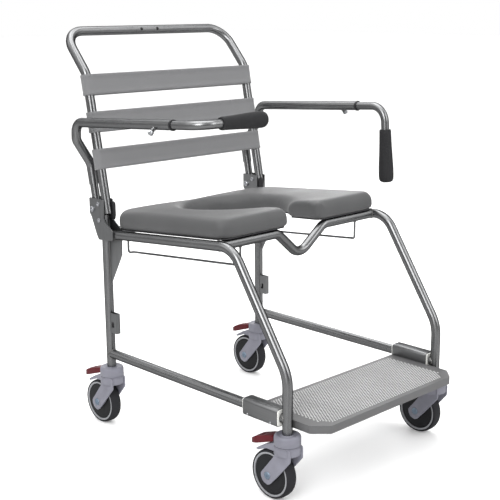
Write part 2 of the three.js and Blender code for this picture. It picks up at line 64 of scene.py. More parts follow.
def makeCamera():
    a, e = math.radians(camera["azimuth"]), math.radians(camera["elevation"])
    back = Vector((math.sin(a) * math.cos(e), -math.cos(a) * math.cos(e), math.sin(e)))
    right = Vector((math.cos(a), math.sin(a), 0))
    turned = Matrix((right, back.cross(right), back)).transposed()
    turned = turned @ Matrix.Rotation(math.radians(camera["roll"]), 3, "Z")
    data = bpy.data.cameras.new("camera")
    data.lens = camera["lens"]
    data.shift_x = camera["shiftX"]
    data.shift_y = camera["shiftY"]
    seer = bpy.data.objects.new("camera", data)
    seer.matrix_world = Matrix.Translation(toFrame @ Vector(camera["place"])) @ turned.to_4x4()
    bpy.context.collection.objects.link(seer)
    bpy.context.scene.camera = seer


def addNode(tree, kind, inputs=None, **settings):
    made = tree.nodes.new(kind)
    for key, value in settings.items():
        setattr(made, key, value)
    for key, value in (inputs or {}).items():
        if isinstance(value, bpy.types.NodeSocket):
            tree.links.new(value, made.inputs[key])
        else:
            made.inputs[key].default_value = value
    return made


def ramp(tree, factor, stops, interpolation="LINEAR"):
    made = addNode(tree, "ShaderNodeValToRGB", {"Fac": factor})
    made.color_ramp.interpolation = interpolation
    elements = made.color_ramp.elements
    while len(elements) < len(stops):
        elements.new(0.5)
    for element, (place, tone) in zip(elements, stops):
        element.position = place
        element.color = (*tone, 1) if isinstance(tone, tuple) else (tone, tone, tone, 1)
    return made.outputs["Color"]


def blended(tree, factor, a, b, kind="MIX"):
    mix = addNode(tree, "ShaderNodeMix", {"Factor": factor}, data_type="RGBA", blend_type=kind)
    for socket, tone in ((mix.inputs[6], a), (mix.inputs[7], b)):
        if isinstance(tone, bpy.types.NodeSocket):
            tree.links.new(tone, socket)
        else:
            socket.default_value = (*tone, 1)
    return mix.outputs[2]


studio = {
    "seen": 1.0, "strength": 1.0,
    "panels": [(0.0, 0.25), (0.10, 1.25), (0.17, 0.2), (0.30, 0.16), (0.38, 1.0), (0.46, 0.22), (0.60, 0.15),
               (0.70, 1.3), (0.78, 0.25), (0.9, 0.7), (1.0, 0.25)],
    "height": [(0.0, 0.8), (0.5, 0.8), (0.62, 0.95), (0.8, 2.5), (1.0, 2.5)],
    "lights": [  # place, aim, size, power
        ((-3.2, -1.6, 2.6), (0, 0, 0.5), (1.6, 2.4), 60),
        ((1.2, -3.8, 2.4), (0, 0, 0.5), (1.4, 2.4), 45),
        ((0.4, 0.6, 4.2), (0, 0, 0), (3.5, 3.5), 105),
        ((3.0, 2.4, 2.2), (0, 0, 0.6), (1.2, 2.2), 45),
    ],
}


def makeStudio():
    world = bpy.data.worlds.new("studio")
    world.use_nodes = True
    tree = world.node_tree
    tree.nodes.clear()
    way = addNode(tree, "ShaderNodeTexCoord").outputs["Generated"]
    around = addNode(tree, "ShaderNodeTexGradient", {"Vector": way}, gradient_type="RADIAL").outputs["Fac"]
    height = addNode(tree, "ShaderNodeSeparateXYZ", {"Vector": way}).outputs["Z"]
    height = addNode(tree, "ShaderNodeMapRange", {"Value": height, "From Min": -1.0}).outputs["Result"]
    panels = ramp(tree, around, studio["panels"], "EASE")
    fall = ramp(tree, height, studio["height"])
    both = blended(tree, 1.0, panels, fall, "MULTIPLY")
    lit = addNode(tree, "ShaderNodeBackground", {"Color": both, "Strength": studio["strength"]})
    seen = addNode(tree, "ShaderNodeBackground", {"Color": (studio["seen"],) * 3 + (1,), "Strength": 1.0})
    ray = addNode(tree, "ShaderNodeLightPath").outputs["Is Camera Ray"]
    mixed = addNode(tree, "ShaderNodeMixShader", {0: ray, 1: lit.outputs[0], 2: seen.outputs[0]})
    addNode(tree, "ShaderNodeOutputWorld", {"Surface": mixed.outputs[0]})
    bpy.context.scene.world = world
    for place, aim, size, power in studio["lights"]:
        data = bpy.data.lights.new("softbox", "AREA")
        data.shape = "RECTANGLE"
        data.size, data.size_y = size
        data.energy = power
        lamp = bpy.data.objects.new("softbox", data)
        turned = (Vector(aim) - Vector(place)).to_track_quat("-Z", "Y").to_matrix().to_4x4()
        lamp.matrix_world = Matrix.Translation(place) @ turned
        lamp.visible_camera = False
        bpy.context.collection.objects.link(lamp)
    bpy.context.scene.view_settings.view_transform = "Standard"


def makeFloor():
    bm = bmesh.new()
    bmesh.ops.create_grid(bm, x_segments=2, y_segments=2, size=30)
    mesh = bpy.data.meshes.new("floor")
    bm.to_mesh(mesh)
    bm.free()
    material = bpy.data.materials.new("floorPaint")
    material.use_nodes = True
    tree = material.node_tree
    shader = tree.nodes["Principled BSDF"]
    shader.inputs["Base Color"].default_value = (0.9, 0.9, 0.9, 1)
    shader.inputs["Roughness"].default_value = 0.9
    shader.inputs["Specular IOR Level"].default_value = 0.1
    shader.inputs["Emission Color"].default_value = (1, 1, 1, 1)
    shader.inputs["Emission Strength"].default_value = 0.16
    dim = addNode(tree, "ShaderNodeBsdfDiffuse", {"Color": (0.45, 0.45, 0.45, 1)})
    ray = addNode(tree, "ShaderNodeLightPath").outputs["Is Glossy Ray"]
    both = addNode(tree, "ShaderNodeMixShader", {0: ray, 1: shader.outputs[0], 2: dim.outputs[0]})
    tree.links.new(both.outputs[0], tree.nodes["Material Output"].inputs["Surface"])
    mesh.materials.append(material)
    floor = bpy.data.objects.new("floor", mesh)
    bpy.context.collection.objects.link(floor)


makeCamera()
makeStudio()
makeFloor()
print("camera, lights and floor made")


def newShape():
    bm = bmesh.new()
    bm.verts.layers.float_vector.new("grain")   # millimetres round and along the piece, for brushing and weave
    bm.verts.layers.float_vector.new("along")   # the way that the piece was drawn or woven
    return bm


def loopEdges(ring):
    inside = set(ring)
    return [e for e in dict.fromkeys(e for v in ring for e in v.link_edges)
            if all(v in inside for v in e.verts)]


def onlyVerts(geom):
    return [g for g in geom if isinstance(g, bmesh.types.BMVert)]


def pushRing(bm, ring, move=(0, 0, 0), scale=1.0):
    fresh = onlyVerts(bmesh.ops.extrude_edge_only(bm, edges=loopEdges(ring))["geom"])
    if scale != 1.0:
        middle = sum((v.co for v in fresh), Vector()) / len(fresh)
        bmesh.ops.scale(bm, vec=(scale,) * 3, space=Matrix.Translation(-middle), verts=fresh)
    bmesh.ops.translate(bm, vec=move, verts=fresh)
    return fresh


def turnRing(bm, ring, centre, axis, angle):
    made = bmesh.ops.spin(bm, geom=ring + loopEdges(ring), cent=centre, axis=axis, angle=angle, steps=1)
    return onlyVerts(made["geom_last"])


def markRing(bm, ring, heading, run):
    grain = bm.verts.layers.float_vector["grain"]
    along = bm.verts.layers.float_vector["along"]
    for vert in ring:
        vert[grain] = (vert[grain].x, vert[grain].y, run)
        vert[along] = heading


def marked(bm, heading=(0, 0, 1)):
    heading = Vector(heading)
    turned = heading.to_track_quat("Z", "Y").to_matrix().inverted()
    grain = bm.verts.layers.float_vector["grain"]
    along = bm.verts.layers.float_vector["along"]
    for vert in bm.verts:
        vert[grain] = turned @ vert.co
        vert[along] = heading
    return bm


def capRing(bm, ring):
    bmesh.ops.contextual_create(bm, geom=loopEdges(ring))


tubing = {"radius": 12.7, "sides": 32, "wall": 1.6, "lip": 0.5, "depth": 14, "stepAngle": 6}


def finishEnd(bm, ring, outward, radius, end):
    if end != "plain":
        lip = tubing["lip"]
        ring = pushRing(bm, ring, outward * lip, (radius - lip) / radius)
        if end == "open":
            ring = pushRing(bm, ring, scale=(radius - tubing["wall"]) / (radius - lip))
            ring = pushRing(bm, ring, outward * -tubing["depth"])
    capRing(bm, ring)


def bentTube(corners, bends=(), radius=tubing["radius"], ends=("plain", "plain"), sides=tubing["sides"]):
    bm = newShape()
    points = [Vector(c) for c in corners]
    heading = (points[1] - points[0]).normalized()
    place = Matrix.Translation(points[0]) @ heading.to_track_quat("Z", "Y").to_matrix().to_4x4()
    ring = bmesh.ops.create_circle(bm, segments=sides, radius=radius, matrix=place)["verts"]
    grain = bm.verts.layers.float_vector["grain"]
    for vert in ring:
        vert[grain] = place.inverted() @ vert.co
    markRing(bm, ring, heading, 0)
    first, firstHeading, here, run = ring, heading.copy(), points[0], 0.0
    for corner, following, bend in zip(points[1:], points[2:] + [None], list(bends) + [0]):
        onward = (following - corner).normalized() if following else heading
        turn = heading.angle(onward)
        reach = bend * math.tan(turn / 2)
        straight = (corner - here).length - reach
        run += straight
        ring = pushRing(bm, ring, heading * straight)
        markRing(bm, ring, heading, run)
        if not following:
            break
        centre = corner - heading * reach + (onward - heading * heading.dot(onward)).normalized() * bend
        axis = heading.cross(onward).normalized()
        steps = max(3, math.ceil(turn / math.radians(tubing["stepAngle"])))
        for _ in range(steps):
            ring = turnRing(bm, ring, centre, axis, turn / steps)
            heading = Quaternion(axis, turn / steps) @ heading
            run += bend * turn / steps
            markRing(bm, ring, heading, run)
        heading = onward
        here = corner + onward * reach
    finishEnd(bm, first, -firstHeading, radius, ends[0])
    finishEnd(bm, ring, heading, radius, ends[1])
    return bm


def softened(bm, size, segments=2, sharpest=35):
    bmesh.ops.recalc_face_normals(bm, faces=bm.faces)
    sharp = [e for e in bm.edges if len(e.link_faces) == 2 and e.calc_face_angle() > math.radians(sharpest)]
    bmesh.ops.bevel(bm, geom=sharp, offset=size, offset_type="OFFSET", segments=segments, profile=0.5,
                    affect="EDGES", clamp_overlap=True, material=-1)
    return bm


# Turns a profile of (radius, height) points about an axis. One that starts off the axis closes on itself.
def turned(profile, centre=(0, 0, 0), axis=(0, 0, 1), steps=40, soften=0.0):
    bm = newShape()
    place = Matrix.Translation(centre) @ Vector(axis).to_track_quat("Z", "Y").to_matrix().to_4x4()
    verts = [bm.verts.new(place @ Vector((r, 0, h))) for r, h in profile]
    pairs = list(zip(verts, verts[1:]))
    if profile[0][0] > 0:
        pairs.append((verts[-1], verts[0]))
    edges = [bm.edges.new(pair) for pair in pairs]
    bmesh.ops.spin(bm, geom=verts + edges, cent=centre, axis=axis, angle=math.tau, steps=steps, use_merge=True)
    bmesh.ops.remove_doubles(bm, verts=bm.verts, dist=0.001)
    if soften:
        softened(bm, soften, sharpest=25)
    return marked(bm, axis)


def arc(x, y, rx, ry, start, end, count=14):
    turns = [start + (end - start) * k / count for k in range(count + 1)]
    return [(x + rx * math.cos(a), y + ry * math.sin(a)) for a in turns]


# A plate from an outline in its own plane, thickened along that plane's normal.
def plate(outline, place, thick, corner=0.0, edge=0.5, segments=2):
    bm = newShape()
    bm.faces.new([bm.verts.new((u, v, 0)) for u, v in outline])
    if corner:
        bmesh.ops.bevel(bm, geom=bm.verts, offset=corner, offset_type="OFFSET", segments=4, profile=0.5,
                        affect="VERTICES", clamp_overlap=True, material=-1)
    made = bmesh.ops.extrude_face_region(bm, geom=bm.faces[:])
    bmesh.ops.translate(bm, vec=(0, 0, thick), verts=onlyVerts(made["geom"]))
    if edge:
        softened(bm, edge, segments, sharpest=60)
    bmesh.ops.transform(bm, matrix=place, verts=bm.verts)
    return marked(bm)


# The plane of a side plate: its outline is drawn in y and z, and it thickens towards +x.
def sidePlane(x):
    return Matrix.Translation((x, 0, 0)) @ Matrix(((0, 0, 1, 0), (1, 0, 0, 0), (0, 1, 0, 0), (0, 0, 0, 1)))


def sidePlate(outline, fromX, toX, **finish):
    return plate(outline, sidePlane(min(fromX, toX)), abs(toX - fromX), **finish)


def block(low, high):
    bm = newShape()
    low, high = Vector(low), Vector(high)
    size = Matrix.Diagonal((*(high - low), 1))
    bmesh.ops.create_cube(bm, size=1, matrix=Matrix.Translation((low + high) / 2) @ size)
    return bm


def merged(*shapes):
    whole = newShape()
    for shape in shapes:
        mesh = bpy.data.meshes.new("part")
        shape.to_mesh(mesh)
        shape.free()
        whole.from_mesh(mesh)
        bpy.data.meshes.remove(mesh)
    return whole


# A fillet of weld where one tube runs into another, with the ripple that a torch leaves.
welding = {"size": 1.5, "turns": 44, "ripple": 0.16, "sides": 6}


def weldLine(points, closed=False, size=welding["size"]):
    bm = newShape()
    points = [Vector(p) for p in points]
    count = len(points)
    rings = []
    for i, point in enumerate(points):
        before = points[(i - 1) % count] if closed or i else point
        after = points[(i + 1) % count] if closed or i + 1 < count else point
        heading = (after - before).normalized()
        place = Matrix.Translation(point) @ heading.to_track_quat("Z", "Y").to_matrix().to_4x4()
        bulge = size * (1 + welding["ripple"] * (i % 2))
        ring = bmesh.ops.create_circle(bm, segments=welding["sides"], radius=bulge, matrix=place)["verts"]
        rings.append(ring)
    for ring, following in zip(rings, rings[1:] + (rings[:1] if closed else [])):
        bmesh.ops.bridge_loops(bm, edges=loopEdges(ring) + loopEdges(following))
    if not closed:
        capRing(bm, rings[0])
        capRing(bm, rings[-1])
    return marked(bm)


# Where a tube of one radius, running along `into`, meets another tube whose axis passes through `meeting`.
def copeWeld(meeting, into, across, radius, otherRadius=tubing["radius"]):
    meeting, into, across = Vector(meeting), Vector(into).normalized(), Vector(across).normalized()
    third = into.cross(across)
    points = []
    for k in range(welding["turns"]):
        a = math.tau * k / welding["turns"]
        u, w = (radius + 0.3) * math.cos(a), (radius + 0.3) * math.sin(a)
        depth = math.sqrt(max(otherRadius ** 2 - min(abs(w), otherRadius) ** 2, 4.0))
        points.append(meeting + across * u + third * w - into * depth)
    return weldLine(points, closed=True)


def newPiece(name, bm, material, body, replaces=(), sharpest=38):
    bmesh.ops.recalc_face_normals(bm, faces=bm.faces)
    bmesh.ops.transform(bm, matrix=toFrame, verts=bm.verts)
    mesh = bpy.data.meshes.new(name)
    bm.to_mesh(mesh)
    bm.free()
    mesh.materials.append(material)
    mesh.shade_smooth()
    mesh.set_sharp_from_angle(angle=math.radians(sharpest))
    piece = bpy.data.objects.new(name, mesh)
    bpy.context.collection.objects.link(piece)
    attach(piece, body)
    if replaces:
        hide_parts(*replaces)
    return piece


def newMaterial(name):
    material = bpy.data.materials.new(name)
    material.use_nodes = True
    tree = material.node_tree
    return material, tree, tree.nodes["Principled BSDF"]


def mapped(tree, vector, scale, turn=(0, 0, 0)):
    return addNode(tree, "ShaderNodeMapping", {"Vector": vector, "Scale": scale,
                                               "Rotation": turn}).outputs["Vector"]


def noise(tree, vector, scale, detail=3.0, rough=0.55):
    made = addNode(tree, "ShaderNodeTexNoise", {"Vector": vector, "Scale": scale, "Detail": detail,
                                                "Roughness": rough})
    return made.outputs["Fac"]


def ranged(tree, value, low, high, fromLow=0.0, fromHigh=1.0):
    made = addNode(tree, "ShaderNodeMapRange", {
        "Value": value, "From Min": fromLow, "From Max": fromHigh, "To Min": low, "To Max": high,
    })
    return made.outputs["Result"]


def bumped(tree, shader, height, strength, distance, under=None):
    inputs = {"Height": height, "Strength": strength, "Distance": distance}
    if under:
        inputs["Normal"] = under
    normal = addNode(tree, "ShaderNodeBump", inputs).outputs["Normal"]
    tree.links.new(normal, shader.inputs["Normal"])
    return normal


# Ground and polished metal: fine lines run along the piece and stretch its highlights that way.
def drawnMetal(name, dark, light, rough, stretch=0.72, edgeTint=0.35, lines=0.05):
    material, tree, shader = newMaterial(name)
    grain = addNode(tree, "ShaderNodeAttribute", attribute_name="grain").outputs["Vector"]
    fine = noise(tree, mapped(tree, grain, (1.1, 1.1, 0.012)), 1.0, 4.0, 0.65)
    cloud = noise(tree, mapped(tree, grain, (0.05, 0.05, 0.008)), 1.0, 2.0)
    tone = blended(tree, ranged(tree, fine, 0.0, 1.0, 0.3, 0.7), dark, light)
    tone = blended(tree, ranged(tree, cloud, 0.0, 0.35, 0.35, 0.75), tone, dark)
    tree.links.new(tone, shader.inputs["Base Color"])
    tree.links.new(ranged(tree, fine, rough - 0.05, rough + 0.09, 0.3, 0.7), shader.inputs["Roughness"])
    shader.inputs["Metallic"].default_value = 1.0
    shader.inputs["Specular Tint"].default_value = (edgeTint, edgeTint, edgeTint, 1)
    shader.inputs["Anisotropic"].default_value = stretch
    drawn = addNode(tree, "ShaderNodeAttribute", attribute_name="along").outputs["Vector"]
    world = addNode(tree, "ShaderNodeVectorTransform", {"Vector": drawn}, vector_type="VECTOR",
                    convert_from="OBJECT",
                    convert_to="WORLD")
    tree.links.new(world.outputs["Vector"], shader.inputs["Tangent"])
    bumped(tree, shader, fine, lines, 0.0002)
    return material


# Moulded plastic or rubber, with a fine spark-eroded surface and a little unevenness.
def moulded(name, tone, rough, spread=0.12, grainSize=0.0009, grainDepth=0.12, shine=0.4):
    material, tree, shader = newMaterial(name)
    place = addNode(tree, "ShaderNodeTexCoord").outputs["Object"]
    cloud = noise(tree, place, 14.0, 3.0)
    fine = noise(tree, place, 1 / grainSize, 2.0, 0.5)
    dark = tuple(c * (1 - spread) for c in tone)
    light = tuple(c * (1 + spread) for c in tone)
    tree.links.new(blended(tree, ranged(tree, cloud, 0.0, 1.0, 0.3, 0.7), dark, light),
                   shader.inputs["Base Color"])
    tree.links.new(ranged(tree, cloud, rough - 0.05, rough + 0.07, 0.3, 0.7), shader.inputs["Roughness"])
    shader.inputs["Specular IOR Level"].default_value = shine
    bumped(tree, shader, fine, grainDepth, 0.0003)
    return material


def foamRubber(name):
    material, tree, shader = newMaterial(name)
    place = addNode(tree, "ShaderNodeTexCoord").outputs["Object"]
    cells = addNode(tree, "ShaderNodeTexVoronoi", {"Vector": place, "Scale": 700.0},
                    feature="SMOOTH_F1").outputs["Distance"]
    cloud = noise(tree, place, 60.0, 4.0)
    tree.links.new(blended(tree, cells, (0.008, 0.008, 0.009), (0.034, 0.034, 0.036)),
                   shader.inputs["Base Color"])
    tree.links.new(ranged(tree, cloud, 0.78, 0.95), shader.inputs["Roughness"])
    shader.inputs["Specular IOR Level"].default_value = 0.25
    under = bumped(tree, shader, cells, 0.6, 0.0006)
    bumped(tree, shader, cloud, 0.15, 0.001, under)
    return material


def seatSkin(name):
    material, tree, shader = newMaterial(name)
    place = addNode(tree, "ShaderNodeTexCoord").outputs["Object"]
    cloud = noise(tree, place, 9.0, 4.0)
    pores = addNode(tree, "ShaderNodeTexVoronoi", {"Vector": place, "Scale": 850.0},
                    feature="SMOOTH_F1").outputs["Distance"]
    tone = blended(tree, ranged(tree, cloud, 0.0, 1.0, 0.3, 0.7), (0.064, 0.0648, 0.0662),
                   (0.078, 0.0787, 0.0801))
    tone = blended(tree, ranged(tree, pores, 0.0, 0.25, 0.2, 0.7), tone, (0.049, 0.049, 0.0505))
    tree.links.new(tone, shader.inputs["Base Color"])
    tree.links.new(ranged(tree, cloud, 0.5, 0.62, 0.3, 0.7), shader.inputs["Roughness"])
    shader.inputs["Specular IOR Level"].default_value = 0.35
    shader.inputs["Sheen Weight"].default_value = 0.08
    under = bumped(tree, shader, pores, 0.35, 0.0004)
    bumped(tree, shader, cloud, 0.05, 0.002, under)
    return material


# Coated webbing: the weave follows the band, across it and along it.
def webbing(name):
    material, tree, shader = newMaterial(name)
    grain = addNode(tree, "ShaderNodeAttribute", attribute_name="grain").outputs["Vector"]
    axes = addNode(tree, "ShaderNodeSeparateXYZ", {"Vector": grain})
    flat = addNode(tree, "ShaderNodeCombineXYZ", {"X": axes.outputs["X"],
                                                  "Y": axes.outputs["Z"]}).outputs["Vector"]
    warp = addNode(tree, "ShaderNodeTexWave", {"Vector": flat, "Scale": 0.42, "Distortion": 0.3, "Detail": 1.0},
                   bands_direction="X").outputs["Fac"]
    weft = addNode(tree, "ShaderNodeTexWave", {"Vector": flat, "Scale": 0.34, "Distortion": 0.3, "Detail": 1.0},
                   bands_direction="Y").outputs["Fac"]
    weave = addNode(tree, "ShaderNodeMath", {0: warp, 1: weft}, operation="MULTIPLY").outputs[0]
    cloud = noise(tree, mapped(tree, flat, (0.03, 0.03, 0.03)), 1.0, 4.0)
    tone = blended(tree, weave, (0.14, 0.141, 0.145), (0.24, 0.242, 0.247))
    tone = blended(tree, ranged(tree, cloud, 0.0, 0.4, 0.4, 0.7), tone, (0.175, 0.175, 0.18))
    tree.links.new(tone, shader.inputs["Base Color"])
    tree.links.new(ranged(tree, cloud, 0.62, 0.78), shader.inputs["Roughness"])
    shader.inputs["Specular IOR Level"].default_value = 0.3
    shader.inputs["Sheen Weight"].default_value = 0.15
    bumped(tree, shader, weave, 0.35, 0.0004)
    return material


steel = drawnMetal("tubeSteel", (0.185, 0.187, 0.19), (0.29, 0.292, 0.296), 0.25, edgeTint=0.12)
plateSteel = drawnMetal("plateSteel", (0.21, 0.213, 0.217), (0.29, 0.294, 0.298), 0.42, stretch=0.4)
channelSteel = drawnMetal("channelSteel", (0.20, 0.202, 0.205), (0.27, 0.273, 0.277), 0.36, edgeTint=0.15,
                          stretch=0.6)
boltZinc = drawnMetal("boltZinc", (0.40, 0.41, 0.43), (0.58, 0.59, 0.61), 0.25, stretch=0.0, edgeTint=0.8)
axleZinc = drawnMetal("axleZinc", (0.24, 0.31, 0.40), (0.34, 0.42, 0.51), 0.38, stretch=0.0, edgeTint=0.5)
weldSteel = drawnMetal("weldSteel", (0.2, 0.2, 0.2), (0.36, 0.35, 0.34), 0.38, stretch=0.0)
castorPlastic = moulded("castorPlastic", (0.19, 0.19, 0.225), 0.45, shine=0.3)
coverPlastic = moulded("coverPlastic", (0.012, 0.0125, 0.014), 0.5, shine=0.22)
ringPlastic = moulded("ringPlastic", (0.27, 0.275, 0.29), 0.45)
tyreRubber = moulded("tyreRubber", (0.018, 0.018, 0.021), 0.68, grainDepth=0.3, shine=0.22)
pedalPlastic = moulded("pedalPlastic", (0.085, 0.005, 0.009), 0.4, shine=0.25)
blackPlastic = moulded("blackPlastic", (0.016, 0.016, 0.018), 0.5, grainDepth=0.25)
boardPlastic = moulded("boardPlastic", (0.035, 0.035, 0.038), 0.6, grainDepth=0.3)
nylon = moulded("whiteNylon", (0.74, 0.74, 0.71), 0.4, spread=0.04)
treadPlastic = moulded("treadPlastic", (0.105, 0.105, 0.107), 0.5, spread=0.06, grainDepth=0.2)
# The studs are made lighter grey than the tray: the extra lightness is a painted highlight on the studs.
studHighlightPlastic = moulded("studHighlightPlastic", (0.40, 0.40, 0.40), 0.42, spread=0.1, grainDepth=0.2)
# Near-black for the drain-hole discs: painted shade standing in for the dark inside of each hole.
holeShadeBlack = moulded("holeShadeBlack", (0.01, 0.01, 0.01), 0.8)
threadGrey = moulded("threadGrey", (0.2, 0.2, 0.205), 0.8)
gripFoam = foamRubber("gripFoam")
skin = seatSkin("seatSkin")
strapWeb = webbing("strapWeb")
print("materials made")


seatTilt = 4.96
frameTubes = {
    "railRearZ": 557, "railBendY": -505, "legBendZ": 320, "legFootZ": 151, "legTopZ": 612, "lowerRailZ": 214.5,
    "railBend": 70, "legBend": 100, "crossY": -455, "dipHalf": 88, "dipY": -449, "dipZ": 524,
    "dipBends": (36, 40, 36), "rearCrossRise": 3, "bracketInnerX": 274,
}
clip = {
    "halfX": 6.7, "wall": 2, "rearY": -9, "frontY": -38, "lowZ": 279, "highZ": 336, "holeY": -21.5,
    "holeZ": 303, "holeHalfY": 5.5, "holeHalfZ": 8,
}
gusset = {"thick": 3, "lowZ": 420, "frontY": -69, "frontZ": 509}
runner = {"radius": 3, "x": 218, "rearZ": 492, "kinkY": -22, "kinkZ": 498.2, "frontZ": 535.5,
          "bends": (7, 20, 7)}


def railZ(y):
    return frameTubes["railRearZ"] - y * math.tan(math.radians(seatTilt))


def makeSideFrame(name, s):
    t = frameTubes
    x = s * legX
    tube = bentTube([
        (x, -2, railZ(-2)), (x, t["railBendY"], railZ(t["railBendY"])),
        (x, frontY, t["legBendZ"]), (x, frontY, t["legFootZ"]),
    ], (t["railBend"], t["legBend"]))
    newPiece("seat_rail_tube_" + name, tube, steel, "frame", ["side_frame_" + name])
    leg = bentTube([(x, 0, t["legFootZ"]), (x, 0, t["legTopZ"])], ends=("plain", "lip"))
    newPiece("rear_leg_tube_" + name, leg, steel, "frame", ["rear_leg_" + name])
    rail = bentTube([(x, -2, t["lowerRailZ"]), (x, frontY + 2, t["lowerRailZ"])])
    newPiece("lower_rail_tube_" + name, rail, steel, "frame", ["lower_rail_" + name])


# The folded channel in front of each rear leg, with an oblong hole through both cheeks.
def makeLegClip(name, s):
    c = clip
    x = s * legX
    cheeks = []
    rear, fore = c["holeY"] + c["holeHalfY"], c["holeY"] - c["holeHalfY"]
    for low in (x - c["halfX"], x + c["halfX"] - c["wall"]):
        high = low + c["wall"]
        cheeks += [
            block((low, rear, c["lowZ"]), (high, c["rearY"], c["highZ"])),
            block((low, c["frontY"] + c["wall"], c["lowZ"]), (high, fore, c["highZ"])),
            block((low, fore, c["lowZ"]), (high, rear, c["holeZ"] - c["holeHalfZ"])),
            block((low, fore, c["holeZ"] + c["holeHalfZ"]), (high, rear, c["highZ"])),
        ]
    front = block((x - c["halfX"], c["frontY"], c["lowZ"]),
                  (x + c["halfX"], c["frontY"] + c["wall"], c["highZ"]))
    whole = merged(front, *cheeks)
    newPiece("leg_clip_" + name, marked(whole), plateSteel, "frame", ["rear_leg_" + name])


def makeGusset(name, s):
    g = gusset
    under = tubing["radius"] / math.cos(math.radians(seatTilt)) - 0.8
    rearY = -tubing["radius"] + 0.6
    outline = [
        (rearY, g["lowZ"]), (rearY, railZ(rearY) - under), (g["frontY"], railZ(g["frontY"]) - under),
        (g["frontY"] + 2, g["frontZ"]), (rearY - 4, g["lowZ"]),
    ]
    x = s * legX
    shape = sidePlate(outline, x - g["thick"] / 2, x + g["thick"] / 2, edge=0.6)
    newPiece("gusset_plate_" + name, shape, plateSteel, "frame", ["gusset_" + name])


def makeRunner(name, s):
    w, t = runner, frameTubes
    x, top = s * w["x"], tubing["radius"] - 1
    wire = bentTube([
        (x, 0, t["railRearZ"] + t["rearCrossRise"] - top), (x, 0, w["rearZ"]), (x, w["kinkY"], w["kinkZ"]),
        (x, t["crossY"], w["frontZ"]), (x, t["crossY"], railZ(t["crossY"]) - top),
    ], w["bends"], w["radius"], sides=14)
    newPiece("pan_runner_wire_" + name, wire, steel, "frame", ["pan_runner_" + name])


def makeCrossTubes():
    t = frameTubes
    z = railZ(t["crossY"])
    end = legX - 3
    front = bentTube([
        (-end, t["crossY"], z), (-t["dipHalf"], t["crossY"], z), (0, t["dipY"], t["dipZ"]),
        (t["dipHalf"], t["crossY"], z),
        (end, t["crossY"], z),
    ], t["dipBends"])
    newPiece("front_cross_bar", front, steel, "frame", ["front_cross_tube"])
    inner = t["bracketInnerX"] + 1
    z = t["railRearZ"] + t["rearCrossRise"]
    rear = bentTube([(-inner, 0, z), (inner, 0, z)])
    newPiece("rear_cross_bar", rear, steel, "frame", ["rear_cross_tube"])


def makeFrameWelds():
    t = frameTubes
    beads = []
    for _, s in sides:
        x = s * legX
        front = (0, -math.cos(math.radians(seatTilt)), math.sin(math.radians(seatTilt)))
        beads.append(copeWeld((x, 0, t["lowerRailZ"]), (0, 1, 0), (0, 0, 1), tubing["radius"]))
        beads.append(copeWeld((x, frontY, t["lowerRailZ"]), (0, -1, 0), (0, 0, 1), tubing["radius"]))
        beads.append(copeWeld((x, 0, railZ(0)), (-Vector(front)), (0, 0, 1), tubing["radius"]))
        beads.append(copeWeld((x, t["crossY"], railZ(t["crossY"])), (s, 0, 0), front, tubing["radius"]))
        for y, z in ((0, t["railRearZ"] + t["rearCrossRise"]), (t["crossY"], railZ(t["crossY"]))):
            beads.append(copeWeld((s * runner["x"], y, z), (0, 0, 1), (1, 0, 0), runner["radius"]))
        for side in (-1, 1):   # both faces of each gusset, up the leg and under the rail
            gx = x + side * gusset["thick"] / 2
            rearY = -tubing["radius"] + 0.2
            under = tubing["radius"] + 0.2
            count = 24
            up = [(gx, rearY, gusset["lowZ"] + (railZ(0) - under - gusset["lowZ"]) * k / count)
                  for k in range(count + 1)]
            run = [(gx, rearY + (gusset["frontY"] - rearY) * k / count) for k in range(count + 1)]
            run = [(a, b, railZ(b) - under) for a, b in run]
            beads += [weldLine(up, size=1.2), weldLine(run, size=1.2)]
    newPiece("frame_welds", merged(*beads), weldSteel, "frame")


for name, s in sides:
    makeSideFrame(name, s)
    makeLegClip(name, s)
    makeGusset(name, s)
    makeRunner(name, s)
makeCrossTubes()
makeFrameWelds()
print("frame tubes made")


hoop = {
    "footY": -10.6, "footZ": 616, "kneeY": 62.9, "kneeZ": 986.7, "topY": 159.5, "topZ": 1095.6,
    "bends": (45, 60, 60, 45), "holeShadeDiscs": (-32, 26), "holeShadeRadius": 4.4, "holeShadeAngle": 12,
}
hoopSlope = (hoop["kneeY"] - hoop["footY"]) / (hoop["kneeZ"] - hoop["footZ"])
hoopLean = math.atan(hoopSlope)


def hoopY(z):
    return hoop["footY"] + (z - hoop["footZ"]) * hoopSlope


def makeHoop():
    h = hoop
    x = legX
    tube = bentTube([
        (-x, h["footY"], h["footZ"]), (-x, h["kneeY"], h["kneeZ"]), (-x, h["topY"], h["topZ"]),
        (x, h["topY"], h["topZ"]), (x, h["kneeY"], h["kneeZ"]), (x, h["footY"], h["footZ"]),
    ], h["bends"], ends=("lip", "lip"))
    newPiece("backrest_tube", tube, steel, "frame", ["backrest_hoop"])
    holeShadeDiscs = []
    for place in h["holeShadeDiscs"]:   # drain holes drilled in the front of the push bar
        a = math.radians(h["holeShadeAngle"])
        way = Vector((0, -math.cos(a), math.sin(a)))
        centre = Vector((place, h["topY"], h["topZ"])) + way * tubing["radius"]
        r = h["holeShadeRadius"]
        # Each drain hole is a black disc on the tube: its black is painted shade of the hole's inside, not a
        # plug.
        holeShadeDiscs.append(turned([(0, 0.6), (r, 0.3), (r, -2), (0, -2)], centre, way, 20))
    newPiece("drain_hole_shade_discs", merged(*holeShadeDiscs), holeShadeBlack, "frame")


strap = {
    "height": 55, "thick": 2.0, "hem": 7, "hemThick": 2.9, "lowestZ": 761, "pitch": 98, "inner": 13.9,
    "shift": 0.6, "step": 16, "sag": 3.5, "stitchEvery": 6.5, "stitch": (4.2, 0.7, 0.8), "stitchFrom": 22.5,
    "stitchEnd": 10, "turnSteps": 12,
}


